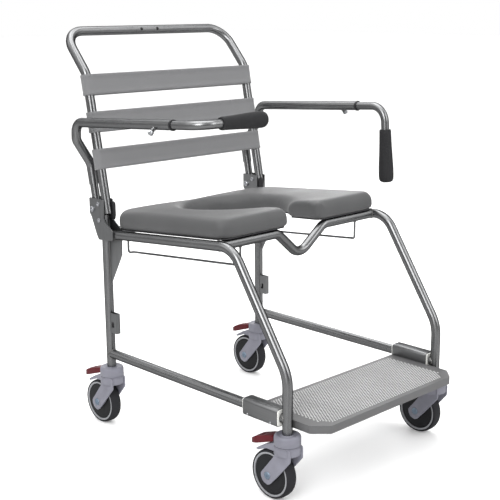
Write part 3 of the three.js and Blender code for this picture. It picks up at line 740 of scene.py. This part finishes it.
# One closed band round both sides of the hoop, pushed along the straights and turned at the tubes.
def strapBand():
    c = strap
    bm = newShape()
    half = c["height"] / 2
    across = [-half, -half + 1.2, -half + c["hem"], -half + c["hem"] + 1, -half / 3, half / 3,
              half - c["hem"] - 1, half - c["hem"], half - 1.2, half]
    thick = [c["hemThick"] * 0.45, c["hemThick"], c["hemThick"], c["thick"], c["thick"], c["thick"],
             c["thick"], c["hemThick"], c["hemThick"], c["hemThick"] * 0.45]
    middle = c["inner"] + c["hemThick"] / 2
    grain = bm.verts.layers.float_vector["grain"]
    front = [(v, middle + t / 2) for v, t in zip(across, thick)]
    back = [(v, middle - t / 2) for v, t in zip(across, thick)]
    ring = []
    for v, r in front + back[::-1]:
        vert = bm.verts.new((0, r, v))
        vert[grain] = (v, r, 0)
        ring.append(vert)
    for pair in zip(ring, ring[1:] + ring[:1]):
        bm.edges.new(pair)
    markRing(bm, ring, (-1, 0, 0), 0)
    first, run = ring, 0.0
    steps = round(legX / c["step"])
    legs = [(-1, steps), (None, 0), (1, 2 * steps), (None, 1), (-1, steps)]
    for way, count in legs:
        if way is None:
            centre = (-legX if count == 0 else legX, 0, 0)
            turn = math.pi / c["turnSteps"]
            for k in range(c["turnSteps"]):
                ring = turnRing(bm, ring, centre, (0, 0, 1), turn)
                run += turn * middle
                markRing(bm, ring, (math.cos(math.pi * k / c["turnSteps"]), 0, 0), run)
            continue
        for _ in range(count):
            ring = pushRing(bm, ring, (way * legX / steps, 0, 0))
            run += legX / steps
            markRing(bm, ring, (way, 0, 0), run)
    bmesh.ops.remove_doubles(bm, verts=first + ring, dist=0.01)
    for vert in bm.verts:   # the front run is pulled back a little by use, most in the middle
        if vert.co.y < 0 and abs(vert.co.x) < legX:
            vert.co.y += c["sag"] * (1 - (vert.co.x / legX) ** 2)
    return bm, run


def strapStitches():
    c = strap
    bm = newShape()
    outer = c["inner"] + c["hemThick"] + 0.05
    count = int((2 * legX - 2 * c["stitchEnd"]) / c["stitchEvery"])
    for k in range(count + 1):
        x = -legX + c["stitchEnd"] + k * c["stitchEvery"]
        for v in (-c["stitchFrom"], c["stitchFrom"]):
            for y in (outer, -outer + c["sag"] * (1 - (x / legX) ** 2)):
                place = Matrix.Translation((x, y, v)) @ Matrix.Diagonal((*c["stitch"], 1))
                bmesh.ops.create_cube(bm, size=1, matrix=place)
    return marked(bm, (1, 0, 0))


def makeStraps():
    c = strap
    for i, name in enumerate(("lower", "middle", "upper")):
        z = c["lowestZ"] + i * c["pitch"]
        place = Matrix.Translation((0, hoopY(z), z)) @ Matrix.Rotation(-hoopLean, 4, "X")
        place = place @ Matrix.Translation((0, c["shift"], 0))
        band, length = strapBand()
        bmesh.ops.transform(band, matrix=place, verts=band.verts)
        piece = newPiece("strap_band_" + name, band, strapWeb, "frame", ["back_strap_" + name])
        stitches = strapStitches()
        bmesh.ops.transform(stitches, matrix=place, verts=stitches.verts)
        newPiece("strap_stitching_" + name, stitches, threadGrey, "frame")


makeHoop()
makeStraps()
print("backrest made")


bracket = {
    "innerX": 274, "outerX": 305, "thick": 3, "corner": 3,
    "outline": [(50, 655), (-12, 655), (-12, 600), (-20, 594), (-50, 572), (-50, 550), (-46, 547),
                (13, 542), (22, 556), (43, 604), (50, 612)],
    "bolts": [(10, 642), (8, 597)], "boltRadius": 6.2, "boltHigh": 3.2, "pin": (36, 625), "pinRadius": 5,
    "pinHead": 8, "pinHigh": 4.5, "stop": (18, 642), "stopRadius": 9.7,
}
saddle = {"innerX": 277.4, "outerX": 284, "rearY": -13, "frontY": -30, "lowZ": 600, "neckZ": 612, "highZ": 650,
          "round": 3}


# A screw head with a socket in it, standing on a face that looks along `axis`.
def boltHead(centre, axis, radius, high, socket=0.45):
    hole = radius * socket
    return turned([
        (0, high * 0.35), (hole, high * 0.35), (hole, high), (radius * 0.8, high), (radius, high * 0.7),
        (radius, -0.6), (0, -0.6),
    ], centre, axis, 24)


def makeBrackets(name, s):
    b = bracket
    inner, outer = s * b["innerX"], s * b["outerX"]
    outerPlate = sidePlate(b["outline"], outer, outer + s * b["thick"], corner=b["corner"], edge=0.5)
    newPiece("arm_bracket_outer_" + name, outerPlate, plateSteel, "frame",
             ["bracket_outer_" + name])
    innerPlate = sidePlate(b["outline"], inner, inner + s * b["thick"], corner=b["corner"], edge=0.5)
    apart, r = b["outerX"] - b["innerX"], b["stopRadius"]
    stop = turned([(0, 0), (r, 0), (r, apart - 1), (0, apart - 1)], (inner + s, *b["stop"]), (s, 0, 0), 32)
    newPiece("arm_bracket_inner_" + name, merged(innerPlate, stop), plateSteel, "frame",
             ["bracket_inner_" + name])
    heads = []
    for y, z in b["bolts"]:
        heads.append(boltHead((outer + s * b["thick"], y, z), (s, 0, 0), b["boltRadius"], b["boltHigh"]))
        heads.append(boltHead((inner, y, z), (-s, 0, 0), b["boltRadius"], b["boltHigh"]))
    newPiece("bracket_screws_" + name, merged(*heads), boltZinc, "frame")
    (y, z), r = b["pin"], b["pinRadius"]
    pin = merged(
        boltHead((outer + s * (b["thick"] + 0.3), y, z), (s, 0, 0), b["pinHead"], b["pinHigh"]),
        boltHead((inner - s * 0.3, y, z), (-s, 0, 0), b["pinHead"], b["pinHigh"]),
        turned([(0, 0), (r, 0), (r, apart + 4), (0, apart + 4)], (inner, y, z), (s, 0, 0), 24),
    )
    newPiece("arm_pivot_pin_" + name, pin, boltZinc, "frame", ["arm_pin_" + name])


# The moulded stop on the inner plate, with a domed top and a narrower foot.
def makeSaddle(name, s):
    d = saddle
    inner, outer = s * d["innerX"], s * d["outerX"]
    half = (d["rearY"] - d["frontY"]) / 2
    middle = (d["rearY"] + d["frontY"]) / 2
    dome = arc(middle, d["highZ"] - half, half, half, 0, math.pi, 12)
    foot = [(d["frontY"] + 3, d["lowZ"]), (d["rearY"] - 1, d["lowZ"])]
    outline = dome + [(d["frontY"], d["neckZ"])] + foot + [(d["rearY"], d["neckZ"])]
    whole = sidePlate(outline, inner, outer, edge=d["round"], segments=4)
    newPiece("backrest_block_" + name, whole, blackPlastic, "frame",
             ["backrest_saddle_" + name])


for name, s in sides:
    makeBrackets(name, s)
    makeSaddle(name, s)
print("brackets made")


arm = {
    "pivotY": 36, "pivotZ": 625, "lean": 0.19, "footZ": 615.5, "stepZ": 690, "stubRadius": 11, "reachX": 341,
    "kinkLowZ": 745, "kinkHighZ": 815, "kinkHighY": 50, "cornerY": 48, "cornerZ": 862, "openY": -350,
    "openZ": 886, "bends": (30, 24, 30), "collar": (11.15, 14.0, 5.4),
}
handle = {"radius": 11, "insert": 90, "bendY": -452, "bend": 45, "drop": 213}
gripShape = [
    (0, -213), (10.5, -212.8), (15.5, -210.8), (18.4, -208.2), (20.2, -204), (20.8, -197), (20.9, -188),
    (20.7, -176), (19.6, -152), (18.3, -128), (17.1, -100), (16.5, -78), (16.3, -70), (15.7, -66.6),
    (14.4, -65), (11.2, -65), (11.2, -75), (0, -75),
]
plunger = {"y": -290, "pin": 2.5, "boss": 5.5, "bossHigh": 9, "knob": 7, "knobHigh": 9, "knurls": 24}
armTilt = math.atan((arm["openZ"] - arm["cornerZ"]) / (arm["cornerY"] - arm["openY"]))


def stubY(z):
    return arm["pivotY"] + (z - arm["pivotZ"]) * arm["lean"]


def armZ(y):
    return arm["cornerZ"] + (arm["cornerY"] - y) * math.tan(armTilt)


def plungerPlace(s):
    base = Matrix.Translation((s * arm["reachX"], plunger["y"], armZ(plunger["y"])))
    base = base @ Matrix.Rotation(-armTilt, 4, "X")
    return base, (base.to_3x3() @ Vector((s, 0, -1))).normalized()


def makeArm(name, s):
    a = arm
    x, outX = s * legX, s * a["reachX"]
    tube = bentTube([
        (x, stubY(a["stepZ"]), a["stepZ"]), (x, stubY(a["kinkLowZ"]), a["kinkLowZ"]),
        (outX, a["kinkHighY"], a["kinkHighZ"]),
        (outX, a["cornerY"], a["cornerZ"]), (outX, a["openY"], a["openZ"]),
    ], a["bends"], ends=("lip", "open"))
    stub = bentTube([(x, stubY(a["footZ"]), a["footZ"]), (x, stubY(a["stepZ"] + 6), a["stepZ"] + 6)],
                    radius=a["stubRadius"], ends=("lip", "plain"))
    base, way = plungerPlace(s)
    start = base.translation
    r, out, top = tubing["radius"], plunger["boss"], tubing["radius"] + plunger["bossHigh"]
    boss = turned([(0, r - 3), (out + 1.4, r - 3), (out + 1.2, r + 0.4), (out, r + 1.8), (out, top - 0.5),
                   (out - 0.5, top), (0, top)], start, way, 28)
    newPiece("arm_bar_" + name, merged(tube, stub, boss), steel, "arm_" + name,
             ["arm_tube_" + name])
    inR, outR, long = a["collar"]
    collar = turned([(inR, 0), (outR, 0), (outR, long), (inR, long)], (outX, a["openY"] - 0.6, a["openZ"]),
                    (0, -math.cos(armTilt), math.sin(armTilt)), 32, soften=0.9)
    newPiece("arm_end_collar_" + name, collar, blackPlastic, "arm_" + name)
    low, out = top + 0.3, plunger["knob"]
    high = low + plunger["knobHigh"]
    knob = turned([(0, low), (out - 0.8, low), (out, low + 0.8), (out, high - 1.4), (out - 1.6, high),
                   (0, high)], start, way, plunger["knurls"] * 2)
    knurl(knob, start, way, low + 1.0, high - 1.6)
    tip, r = handle["radius"] + 0.4, plunger["pin"]
    shank = turned([(0, tip), (r, tip), (r, low + 1), (0, low + 1)], start, way, 16)
    newPiece("plunger_knob_" + name, merged(knob, shank), boltZinc, "plunger_" + name,
             ["plunger_" + name])


# Every second line of the knob is pulled in, which leaves a row of grip ridges.
def knurl(bm, start, way, low, high):
    for vert in bm.verts:
        rise = (vert.co - start).dot(way)
        out = vert.co - start - way * rise
        if low - 0.3 < rise < high + 0.3 and out.length > plunger["knob"] - 1:
            turn = math.atan2(out.dot(way.orthogonal()), out.dot(way.cross(way.orthogonal()))) / math.tau
            if round(turn * plunger["knurls"] * 2) % 2:
                vert.co -= out.normalized() * 0.6


def handlePlace(s):
    corner = Matrix.Translation((s * arm["reachX"], handle["bendY"], armZ(handle["bendY"])))
    swivel = Matrix.Rotation(-math.pi / 2 if s < 0 else 0, 4, "Y")   # the right one is folded across the front
    return corner @ Matrix.Rotation(-armTilt, 4, "X") @ swivel


def makeHandle(name, s):
    h = handle
    inner = (arm["openY"] - h["bendY"]) / math.cos(armTilt) + h["insert"]
    tube = bentTube([(0, inner, 0), (0, 0, 0), (0, 0, -h["drop"] + 12)], (h["bend"],), h["radius"],
                    ends=("lip", "plain"))
    bmesh.ops.transform(tube, matrix=handlePlace(s), verts=tube.verts)
    along = tube.verts.layers.float_vector["along"]
    for vert in tube.verts:
        vert[along] = handlePlace(s).to_3x3() @ vert[along]
    newPiece("handle_bar_" + name, tube, steel, "handle_" + name, ["handle_tube_" + name])
    foam = turned(gripShape, steps=48)
    bmesh.ops.transform(foam, matrix=handlePlace(s), verts=foam.verts)
    newPiece("grip_sleeve_" + name, foam, gripFoam, "handle_" + name, ["grip_" + name],
             sharpest=50)


for name, s in sides:
    makeArm(name, s)
    makeHandle(name, s)
print("arms made")


seat = {
    "halfWidth": 296, "rearY": -14, "frontY": -478, "rearCorner": 80, "frontCorner": 38, "gapHalf": 52,
    "gapCorner": 24, "holeHalf": 132, "holeFront": 165, "holeRear": 150, "holeY": -205, "boardLow": 13,
    "boardThick": 3, "boardInset": 9, "cushionLow": 15.6, "cushionThick": 49.6, "voxel": 5, "start": 1.5,
    "rimRound": 22, "rimDrop": 19, "holeRound": 30, "holeDrop": 15, "dish": 7, "dishWide": 95, "tuck": 4.5,
    "tuckRise": 4, "smoothing": 8,
}


# The horseshoe, as its outer rim and the run round its opening.
def seatRims(inset):
    c = seat
    half, rear, front = c["halfWidth"] - inset, c["rearY"] - inset, c["frontY"] + inset
    gap, a = c["gapHalf"] + inset, c["holeHalf"] + inset
    rc, fc, gc = c["rearCorner"] - inset, c["frontCorner"] - inset, c["gapCorner"] - inset / 2
    mouth = math.acos(gap / a)
    quarter = math.pi / 2
    outer = arc(gap + gc, front + gc, gc, gc, math.pi, 3 * quarter)
    outer += arc(half - fc, front + fc, fc, fc, 3 * quarter, 4 * quarter)
    outer += arc(half - rc, rear - rc, rc, rc, 0, quarter)
    outer += arc(-half + rc, rear - rc, rc, rc, quarter, math.pi)
    outer += arc(-half + fc, front + fc, fc, fc, math.pi, 3 * quarter)
    outer += arc(-gap - gc, front + gc, gc, gc, 3 * quarter, math.tau)
    fore, back = c["holeFront"] + inset, c["holeRear"] + inset
    inner = arc(0, c["holeY"], a, fore, math.pi + mouth, math.pi, 18)
    inner += arc(0, c["holeY"], a, back, math.pi, 0, 36)[1:] + arc(0, c["holeY"], a, fore, 0, -mouth, 18)[1:]
    return outer, inner


seatPlace = Matrix.Translation((0, 0, frameTubes["railRearZ"]))
seatPlace = seatPlace @ Matrix.Rotation(-math.radians(seatTilt), 4, "X")


def remeshed(bm, size):
    mesh = bpy.data.meshes.new("block")
    bm.to_mesh(mesh)
    bm.free()
    shell = bpy.data.objects.new("block", mesh)
    bpy.context.collection.objects.link(shell)
    modifier = shell.modifiers.new("remesh", "REMESH")
    modifier.mode = "VOXEL"
    modifier.voxel_size = size
    done = bpy.data.meshes.new_from_object(shell.evaluated_get(bpy.context.evaluated_depsgraph_get()))
    bpy.data.objects.remove(shell)
    fresh = newShape()
    fresh.from_mesh(done)
    bpy.data.meshes.remove(done)
    return fresh


# How far each point lies from a run of short straight edges, in the seat's own plane.
def distanceTo(points, run):
    best = np.full(len(points), 1e9)
    for a, b in zip(run, run[1:]):
        a, b = np.array(a), np.array(b)
        way = b - a
        share = np.clip(((points - a) @ way) / max(way @ way, 1e-9), 0, 1)
        best = np.minimum(best, np.hypot(*(points - a - share[:, None] * way).T))
    return best


def roundedDrop(distance, radius, depth):
    out = np.clip((radius - distance) / radius, 0, 1)
    return depth * (1 - np.sqrt(np.maximum(1 - out ** 2, 0)))


# The moulded pad: a thick horseshoe whose top rolls over to the rim and dishes into the opening.
def makeCushion():
    c = seat
    outer, inner = seatRims(c["start"])
    bm = newShape()
    bm.faces.new([bm.verts.new((x, y, 0)) for x, y in outer + inner[1:-1]])
    made = bmesh.ops.extrude_face_region(bm, geom=bm.faces[:])
    bmesh.ops.translate(bm, vec=(0, 0, c["cushionThick"]), verts=onlyVerts(made["geom"]))
    bmesh.ops.recalc_face_normals(bm, faces=bm.faces)
    bm = remeshed(bm, c["voxel"])
    co = np.array([v.co for v in bm.verts])
    rim = distanceTo(co[:, :2], outer[14:] + outer[:1])
    hole = distanceTo(co[:, :2], inner)
    both = np.minimum(rim, hole)
    web = np.clip((co[:, 1] - c["holeY"] - c["holeRear"]) / (c["rearY"] - c["holeY"] - c["holeRear"]), 0, 1)
    dish = c["dish"] * (1 - np.clip(hole / c["dishWide"], 0, 1)) ** 2 * (1 - web)
    drop = np.hypot(roundedDrop(rim, c["rimRound"], c["rimDrop"]),
                    roundedDrop(hole, c["holeRound"], c["holeDrop"])) + dish
    drop = np.minimum(drop, c["rimDrop"] + 2)
    rise = roundedDrop(both, c["tuck"], c["tuckRise"])
    share = np.clip(co[:, 2] / c["cushionThick"], 0, 1)
    height = rise + share * (c["cushionThick"] - drop - rise)
    for vert, z in zip(bm.verts, height):
        vert.co.z = z
    for _ in range(c["smoothing"]):
        bmesh.ops.smooth_vert(bm, verts=bm.verts, factor=0.5, use_axis_x=True, use_axis_y=True, use_axis_z=True)
    bmesh.ops.transform(bm, matrix=seatPlace @ Matrix.Translation((0, 0, c["cushionLow"])), verts=bm.verts)
    piece = newPiece("seat_pad", marked(bm), skin, "seat", ["seat_cushion"], sharpest=180)
    finer = piece.modifiers.new("finer", "SUBSURF")
    finer.levels = finer.render_levels = 1


def makeBoard():
    c = seat
    outer, inner = seatRims(c["boardInset"])
    place = seatPlace @ Matrix.Translation((0, 0, c["boardLow"]))
    board = plate(outer + inner[1:-1], place, c["boardThick"], edge=1.2)
    newPiece("seat_base_board", board, boardPlastic, "seat", ["seat_board"])


makeCushion()
makeBoard()
print("seat made")


footplate = {
    "halfWidth": 271.7, "rearY": -555, "frontY": -780, "chamfer": 36, "topZ": 207, "depth": 20, "skin": 3,
    "edge": 1.6, "studX": 8.2, "studY": 6.2, "stud": 2.7, "studTop": 1.5, "studHigh": 1.5, "marginX": 30,
    "marginY": 15, "marginCut": 8, "studTurn": 45, "studStretch": (1.25, 0.75, 1, 1), "corner": 3.0,
}
sleeve = {
    "inner": 272, "outer": 310, "lowZ": 192, "highZ": 237, "rearY": -556, "frontY": -672, "wall": 2, "round": 9,
    "lip": 3.5, "linerDeep": 12, "linerCorner": 4.5, "rivets": (-572, -650), "rivetZ": 199, "rivetRadius": 3.4,
}


def makeFootplate():
    c = footplate
    half, rear, front, cut = c["halfWidth"], c["rearY"], c["frontY"], c["chamfer"]
    outline = [(half, rear), (-half, rear), (-half, front + cut), (-half + cut, front), (half - cut, front),
               (half, front + cut)]
    bm = newShape()
    bm.faces.new([bm.verts.new((x, y, c["topZ"] - c["depth"])) for x, y in outline])
    bmesh.ops.bevel(bm, geom=bm.verts, offset=c["corner"], offset_type="OFFSET", segments=4, profile=0.5,
                    affect="VERTICES", clamp_overlap=True, material=-1)
    made = bmesh.ops.extrude_face_region(bm, geom=bm.faces[:])
    bmesh.ops.translate(bm, vec=(0, 0, c["depth"]), verts=onlyVerts(made["geom"]))
    bmesh.ops.recalc_face_normals(bm, faces=bm.faces)
    under = [f for f in bm.faces if f.normal.z < -0.9]
    bmesh.ops.inset_region(bm, faces=under, thickness=c["skin"], use_even_offset=True)
    lifted = bmesh.ops.extrude_face_region(bm, geom=under)
    bmesh.ops.translate(bm, vec=(0, 0, c["depth"] - c["skin"]), verts=onlyVerts(lifted["geom"]))
    bmesh.ops.delete(bm, geom=under, context="FACES_ONLY")
    softened(bm, c["edge"], 3, sharpest=60)
    newPiece("footplate_tray", marked(bm), treadPlastic, "footplate", ["footplate"])
    studs = newShape()
    rows = int((rear - front - 2 * c["marginY"]) / c["studY"])
    columns = int((2 * half - 2 * c["marginX"]) / c["studX"])
    for row in range(rows + 1):
        y = (front + rear) / 2 + (row - rows / 2) * c["studY"]
        for column in range(columns + 1):
            x = (column - columns / 2 + (0.5 if row % 2 else 0)) * c["studX"]
            if abs(x) > half - c["marginX"] - max(0, front + cut + c["marginCut"] - y):
                continue
            turn = math.radians(c["studTurn"] if (row + column) % 2 else -c["studTurn"])
            place = Matrix.Translation((x, y, c["topZ"] + c["studHigh"] / 2 - 0.2))
            place = place @ Matrix.Rotation(turn, 4, "Z") @ Matrix.Diagonal(c["studStretch"])
            bmesh.ops.create_cone(studs, cap_ends=True, segments=8, radius1=c["stud"], radius2=c["studTop"],
                                  depth=c["studHigh"] + 0.4, matrix=place)
    # The studs' lighter grey is a painted highlight.
    newPiece("footplate_studs", marked(studs), studHighlightPlastic, "footplate", sharpest=70)


# A ring of faces between a rounded oblong and a round bore, thickened along y.
def boredBlock(x, z, halfX, halfZ, bore, boreZ, fromY, toY, corner):
    bm = newShape()
    flat = Matrix.Translation((x, fromY, z)) @ Matrix.Rotation(math.pi / 2, 4, "X")
    square = [bm.verts.new(flat @ Vector((u, v, 0))) for u, v in
              ((halfX, halfZ), (-halfX, halfZ), (-halfX, -halfZ), (halfX, -halfZ))]
    for pair in zip(square, square[1:] + square[:1]):
        bm.edges.new(pair)
    bm.faces.new(square)
    bmesh.ops.bevel(bm, geom=bm.verts, offset=corner, offset_type="OFFSET", segments=4, profile=0.5,
                    affect="VERTICES", clamp_overlap=True, material=-1)
    rim = list(bm.verts)
    bmesh.ops.delete(bm, geom=bm.faces[:], context="FACES_ONLY")
    place = Matrix.Translation((x, fromY, boreZ)) @ Matrix.Rotation(math.pi / 2, 4, "X")
    hole = bmesh.ops.create_circle(bm, segments=40, radius=bore, matrix=place)["verts"]
    bmesh.ops.triangle_fill(bm, use_beauty=True, use_dissolve=False, edges=loopEdges(rim) + loopEdges(hole),
                            normal=(0, 1, 0))
    made = bmesh.ops.extrude_face_region(bm, geom=bm.faces[:])
    bmesh.ops.translate(bm, vec=(0, toY - fromY, 0), verts=onlyVerts(made["geom"]))
    return softened(bm, 0.5, 2, sharpest=60)


def roundedOblong(x, z, halfX, halfZ, corner):
    quarter = math.pi / 2
    turns = ((1, 1), (-1, 1), (-1, -1), (1, -1))
    return [point for k, (u, v) in enumerate(turns)
            for point in arc(x + u * (halfX - corner), z + v * (halfZ - corner), corner, corner, k * quarter,
                             (k + 1) * quarter, 5)]


def makeSlide(name, s):
    c = sleeve
    x = s * (c["inner"] + c["outer"]) / 2
    z = (c["lowZ"] + c["highZ"]) / 2
    halfX, halfZ = (c["outer"] - c["inner"]) / 2, (c["highZ"] - c["lowZ"]) / 2
    rings = [roundedOblong(x, z, halfX - w, halfZ - w, c["round"] - w) for w in (0, c["wall"])]
    bm = newShape()
    loops = []
    for y in (c["frontY"], c["rearY"]):
        loops += [[bm.verts.new((u, y, v)) for u, v in ring] for ring in rings]
    for a, b in ((0, 1), (1, 3), (3, 2), (2, 0)):
        for k in range(len(loops[a])):
            bm.faces.new((loops[a][k - 1], loops[a][k], loops[b][k], loops[b][k - 1]))
    bmesh.ops.recalc_face_normals(bm, faces=bm.faces)
    softened(bm, 0.4, 2, sharpest=60)
    newPiece("slide_channel_" + name, marked(bm, (0, 1, 0)), channelSteel, "footplate",
             ["slide_sleeve_" + name])
    room = c["wall"] + 0.3
    bore, boreZ = tubing["radius"] + 0.5, frameTubes["lowerRailZ"]
    ends = [boredBlock(x, z, halfX - room, halfZ - room, bore, boreZ, low, high, c["linerCorner"])
            for low, high in ((c["frontY"] - c["lip"], c["frontY"] + c["linerDeep"]),
                              (c["rearY"] - c["linerDeep"], c["rearY"] + c["lip"]))]
    newPiece("slide_liner_" + name, merged(*ends), nylon, "footplate", ["slide_bush_" + name],
             sharpest=50)
    heads = [turned([(0, 1.8), (c["rivetRadius"] * 0.5, 1.6), (c["rivetRadius"] * 0.85, 0.9),
                     (c["rivetRadius"], 0.1),
                     (c["rivetRadius"], -0.6), (0, -0.6)], (s * c["outer"], y, c["rivetZ"]), (s, 0, 0),
                     20) for y in c["rivets"]]
    newPiece("slide_rivets_" + name, merged(*heads), boltZinc, "footplate")


makeFootplate()
for name, s in sides:
    makeSlide(name, s)
print("footplate made")


# Sizes are from the leg's axis and the floor.
wheel = {"trail": 45, "radius": 62.5}
capProfile = [
    (13.2, 151.3), (31.6, 151.3), (32.6, 151.9), (33, 153), (33, 169.5), (32.5, 172.4), (31.2, 174.8),
    (29.2, 176.4), (27, 177), (24.6, 176.5), (20.5, 174.2), (18.0, 173.8), (16.2, 174.6), (15.2, 176.4),
    (13.2, 176.8),
]
headProfile = [
    (0, 127.6), (30.6, 127.6), (32.2, 128.3), (33, 130), (33, 146.6), (32.2, 147.3), (32.2, 148.4), (33, 149.1),
    (33, 150.2), (32.5, 150.7), (0, 150.7),
]
fork = {
    "inner": 18.6, "outer": 23.6, "corner": 3.5, "edge": 1.5,
    "cheek": [(-24, 150), (-29.5, 146), (-29.5, 118), (16, 64), (38, 41), (46, 38), (60, 43), (67, 54),
              (68, 64), (22, 121), (22, 150)],
    "tailHalf": 15,
    "tail": [(10, 128.5), (10, 150.2), (30, 149.2), (40, 146.2), (60, 137.2), (84, 124), (92, 118.4),
             (90, 115.5), (84, 116), (56, 127.6)],
}
boltProfile = [(0, 24.1), (2.4, 24.1), (2.4, 25.2), (7.6, 25.7), (9.0, 25.3), (9.8, 24.4), (9.8, 22.6),
               (0, 22.6)]
coverProfile = [
    (6.6, 8), (6.6, 15.6), (11, 15.9), (20, 15.7), (33, 15.2), (43.4, 14.5), (44.0, 14.0), (44.8, 14.3),
    (49.6, 13.7), (50.8, 13.1), (51.2, 12.0), (51.2, 8),
]
ringProfile = [
    (51.4, -12.6), (51.7, -14.1), (52.8, -15), (55.2, -15.2), (56.3, -14.5), (56.5, -12), (56.5, 12),
    (56.3, 14.5), (55.2, 15.2), (52.8, 15), (51.7, 14.1), (51.4, 12.6),
]
tyreProfile = [
    (56.7, -14.6), (57.2, -15.6), (58.3, -15.9), (59.8, -15.2), (61.2, -13.2), (62.1, -10), (62.5, -6),
    (62.5, 6), (62.1, 10), (61.2, 13.2), (59.8, 15.2), (58.3, 15.9), (57.2, 15.6), (56.7, 14.6),
]
pedal = {
    "side": [(34.2, 152), (34.2, 164), (38, 166), (60, 161), (92, 150), (112, 138), (116, 131), (111, 127),
             (88, 133), (60, 143), (40, 149.6)],
    "half": 18, "rootHalf": 15, "flareY": 60, "tipY": 92, "tipLong": 24,
    "cuts": (48, 76, 92, 97, 102, 106, 109, 112), "edge": 3.2, "ribs": (74, 82, 90), "rib": 1.1, "ribInset": 5,
    "top": ((60, 161), (92, 150)),
}


def pedalHalf(y):
    p = pedal
    if y < p["flareY"]:
        return p["rootHalf"] + (p["half"] - p["rootHalf"]) * max(0, y - 30) / (p["flareY"] - 30)
    if y < p["tipY"]:
        return p["half"]
    return p["half"] * math.sqrt(max(1 - ((y - p["tipY"]) / p["tipLong"]) ** 2, 0.05))


def pedalShape():
    p = pedal
    bm = sidePlate(p["side"], -1, 1, corner=2.0, edge=0)
    for y in p["cuts"]:
        bmesh.ops.bisect_plane(bm, geom=bm.verts[:] + bm.edges[:] + bm.faces[:], plane_co=(0, y, 0),
                               plane_no=(0, 1, 0), dist=0.01)
    for vert in bm.verts:
        vert.co.x *= pedalHalf(vert.co.y)
    softened(bm, p["edge"], 4, sharpest=50)
    return bm


def pedalRibs():
    p = pedal
    (rootY, rootZ), (tipY, tipZ) = p["top"]
    r, reach = p["rib"], p["half"] - p["ribInset"]
    profile = [(0, -reach), (r * 0.8, -reach), (r, -reach + 1), (r, reach - 1), (r * 0.8, reach), (0, reach)]
    heights = [(y, rootZ + (y - rootY) * (tipZ - rootZ) / (tipY - rootY)) for y in p["ribs"]]
    return [turned(profile, (0, y, z - 0.2), (1, 0, 0), 10) for y, z in heights]


def makeCastor(name, s, y):
    place = Matrix.Translation((s * legX, y, 0))
    axle = Vector((0, wheel["trail"], wheel["radius"]))

    def put(pieceName, shape, material, body, replaces=(), sharpest=38):
        bmesh.ops.transform(shape, matrix=place, verts=shape.verts)
        newPiece(pieceName + "_" + name, shape, material, body, [r + "_" + name for r in replaces],
                 sharpest)

    put("castor_socket", turned(capProfile, steps=56), castorPlastic, "frame", ["castor_cap"],
        50)
    cheeks = []
    for side in (-1, 1):
        cheeks.append(sidePlate(fork["cheek"], side * fork["inner"], side * fork["outer"],
                                corner=fork["corner"], edge=fork["edge"], segments=3))
    tail = sidePlate(fork["tail"], -fork["tailHalf"], fork["tailHalf"], corner=2, edge=1.5, segments=3)
    body = merged(turned(headProfile, steps=56), tail, *cheeks)
    put("castor_body", body, castorPlastic, "castor_" + name, ["castor_fork"], 42)
    bolts = [turned(boltProfile, axle, (side, 0, 0), 32) for side in (-1, 1)]
    put("axle_bolts", merged(*bolts), axleZinc, "castor_" + name)
    covers = [turned(coverProfile, axle, (side, 0, 0), 64) for side in (-1, 1)]
    put("wheel_covers", merged(*covers), coverPlastic, "wheel_" + name, ["wheel"], 30)
    put("wheel_ring", turned(ringProfile, axle, (1, 0, 0), 72), ringPlastic, "wheel_" + name,
        ["wheel"], 50)
    put("tread", turned(tyreProfile, axle, (1, 0, 0), 80), tyreRubber, "wheel_" + name, ["tyre"],
        60)
    put("pedal", merged(pedalShape(), *pedalRibs()), pedalPlastic, "brake_" + name,
        ["brake_pedal"], 45)


for name, s, y in castors:
    makeCastor(name, s, y)
print("castors made")
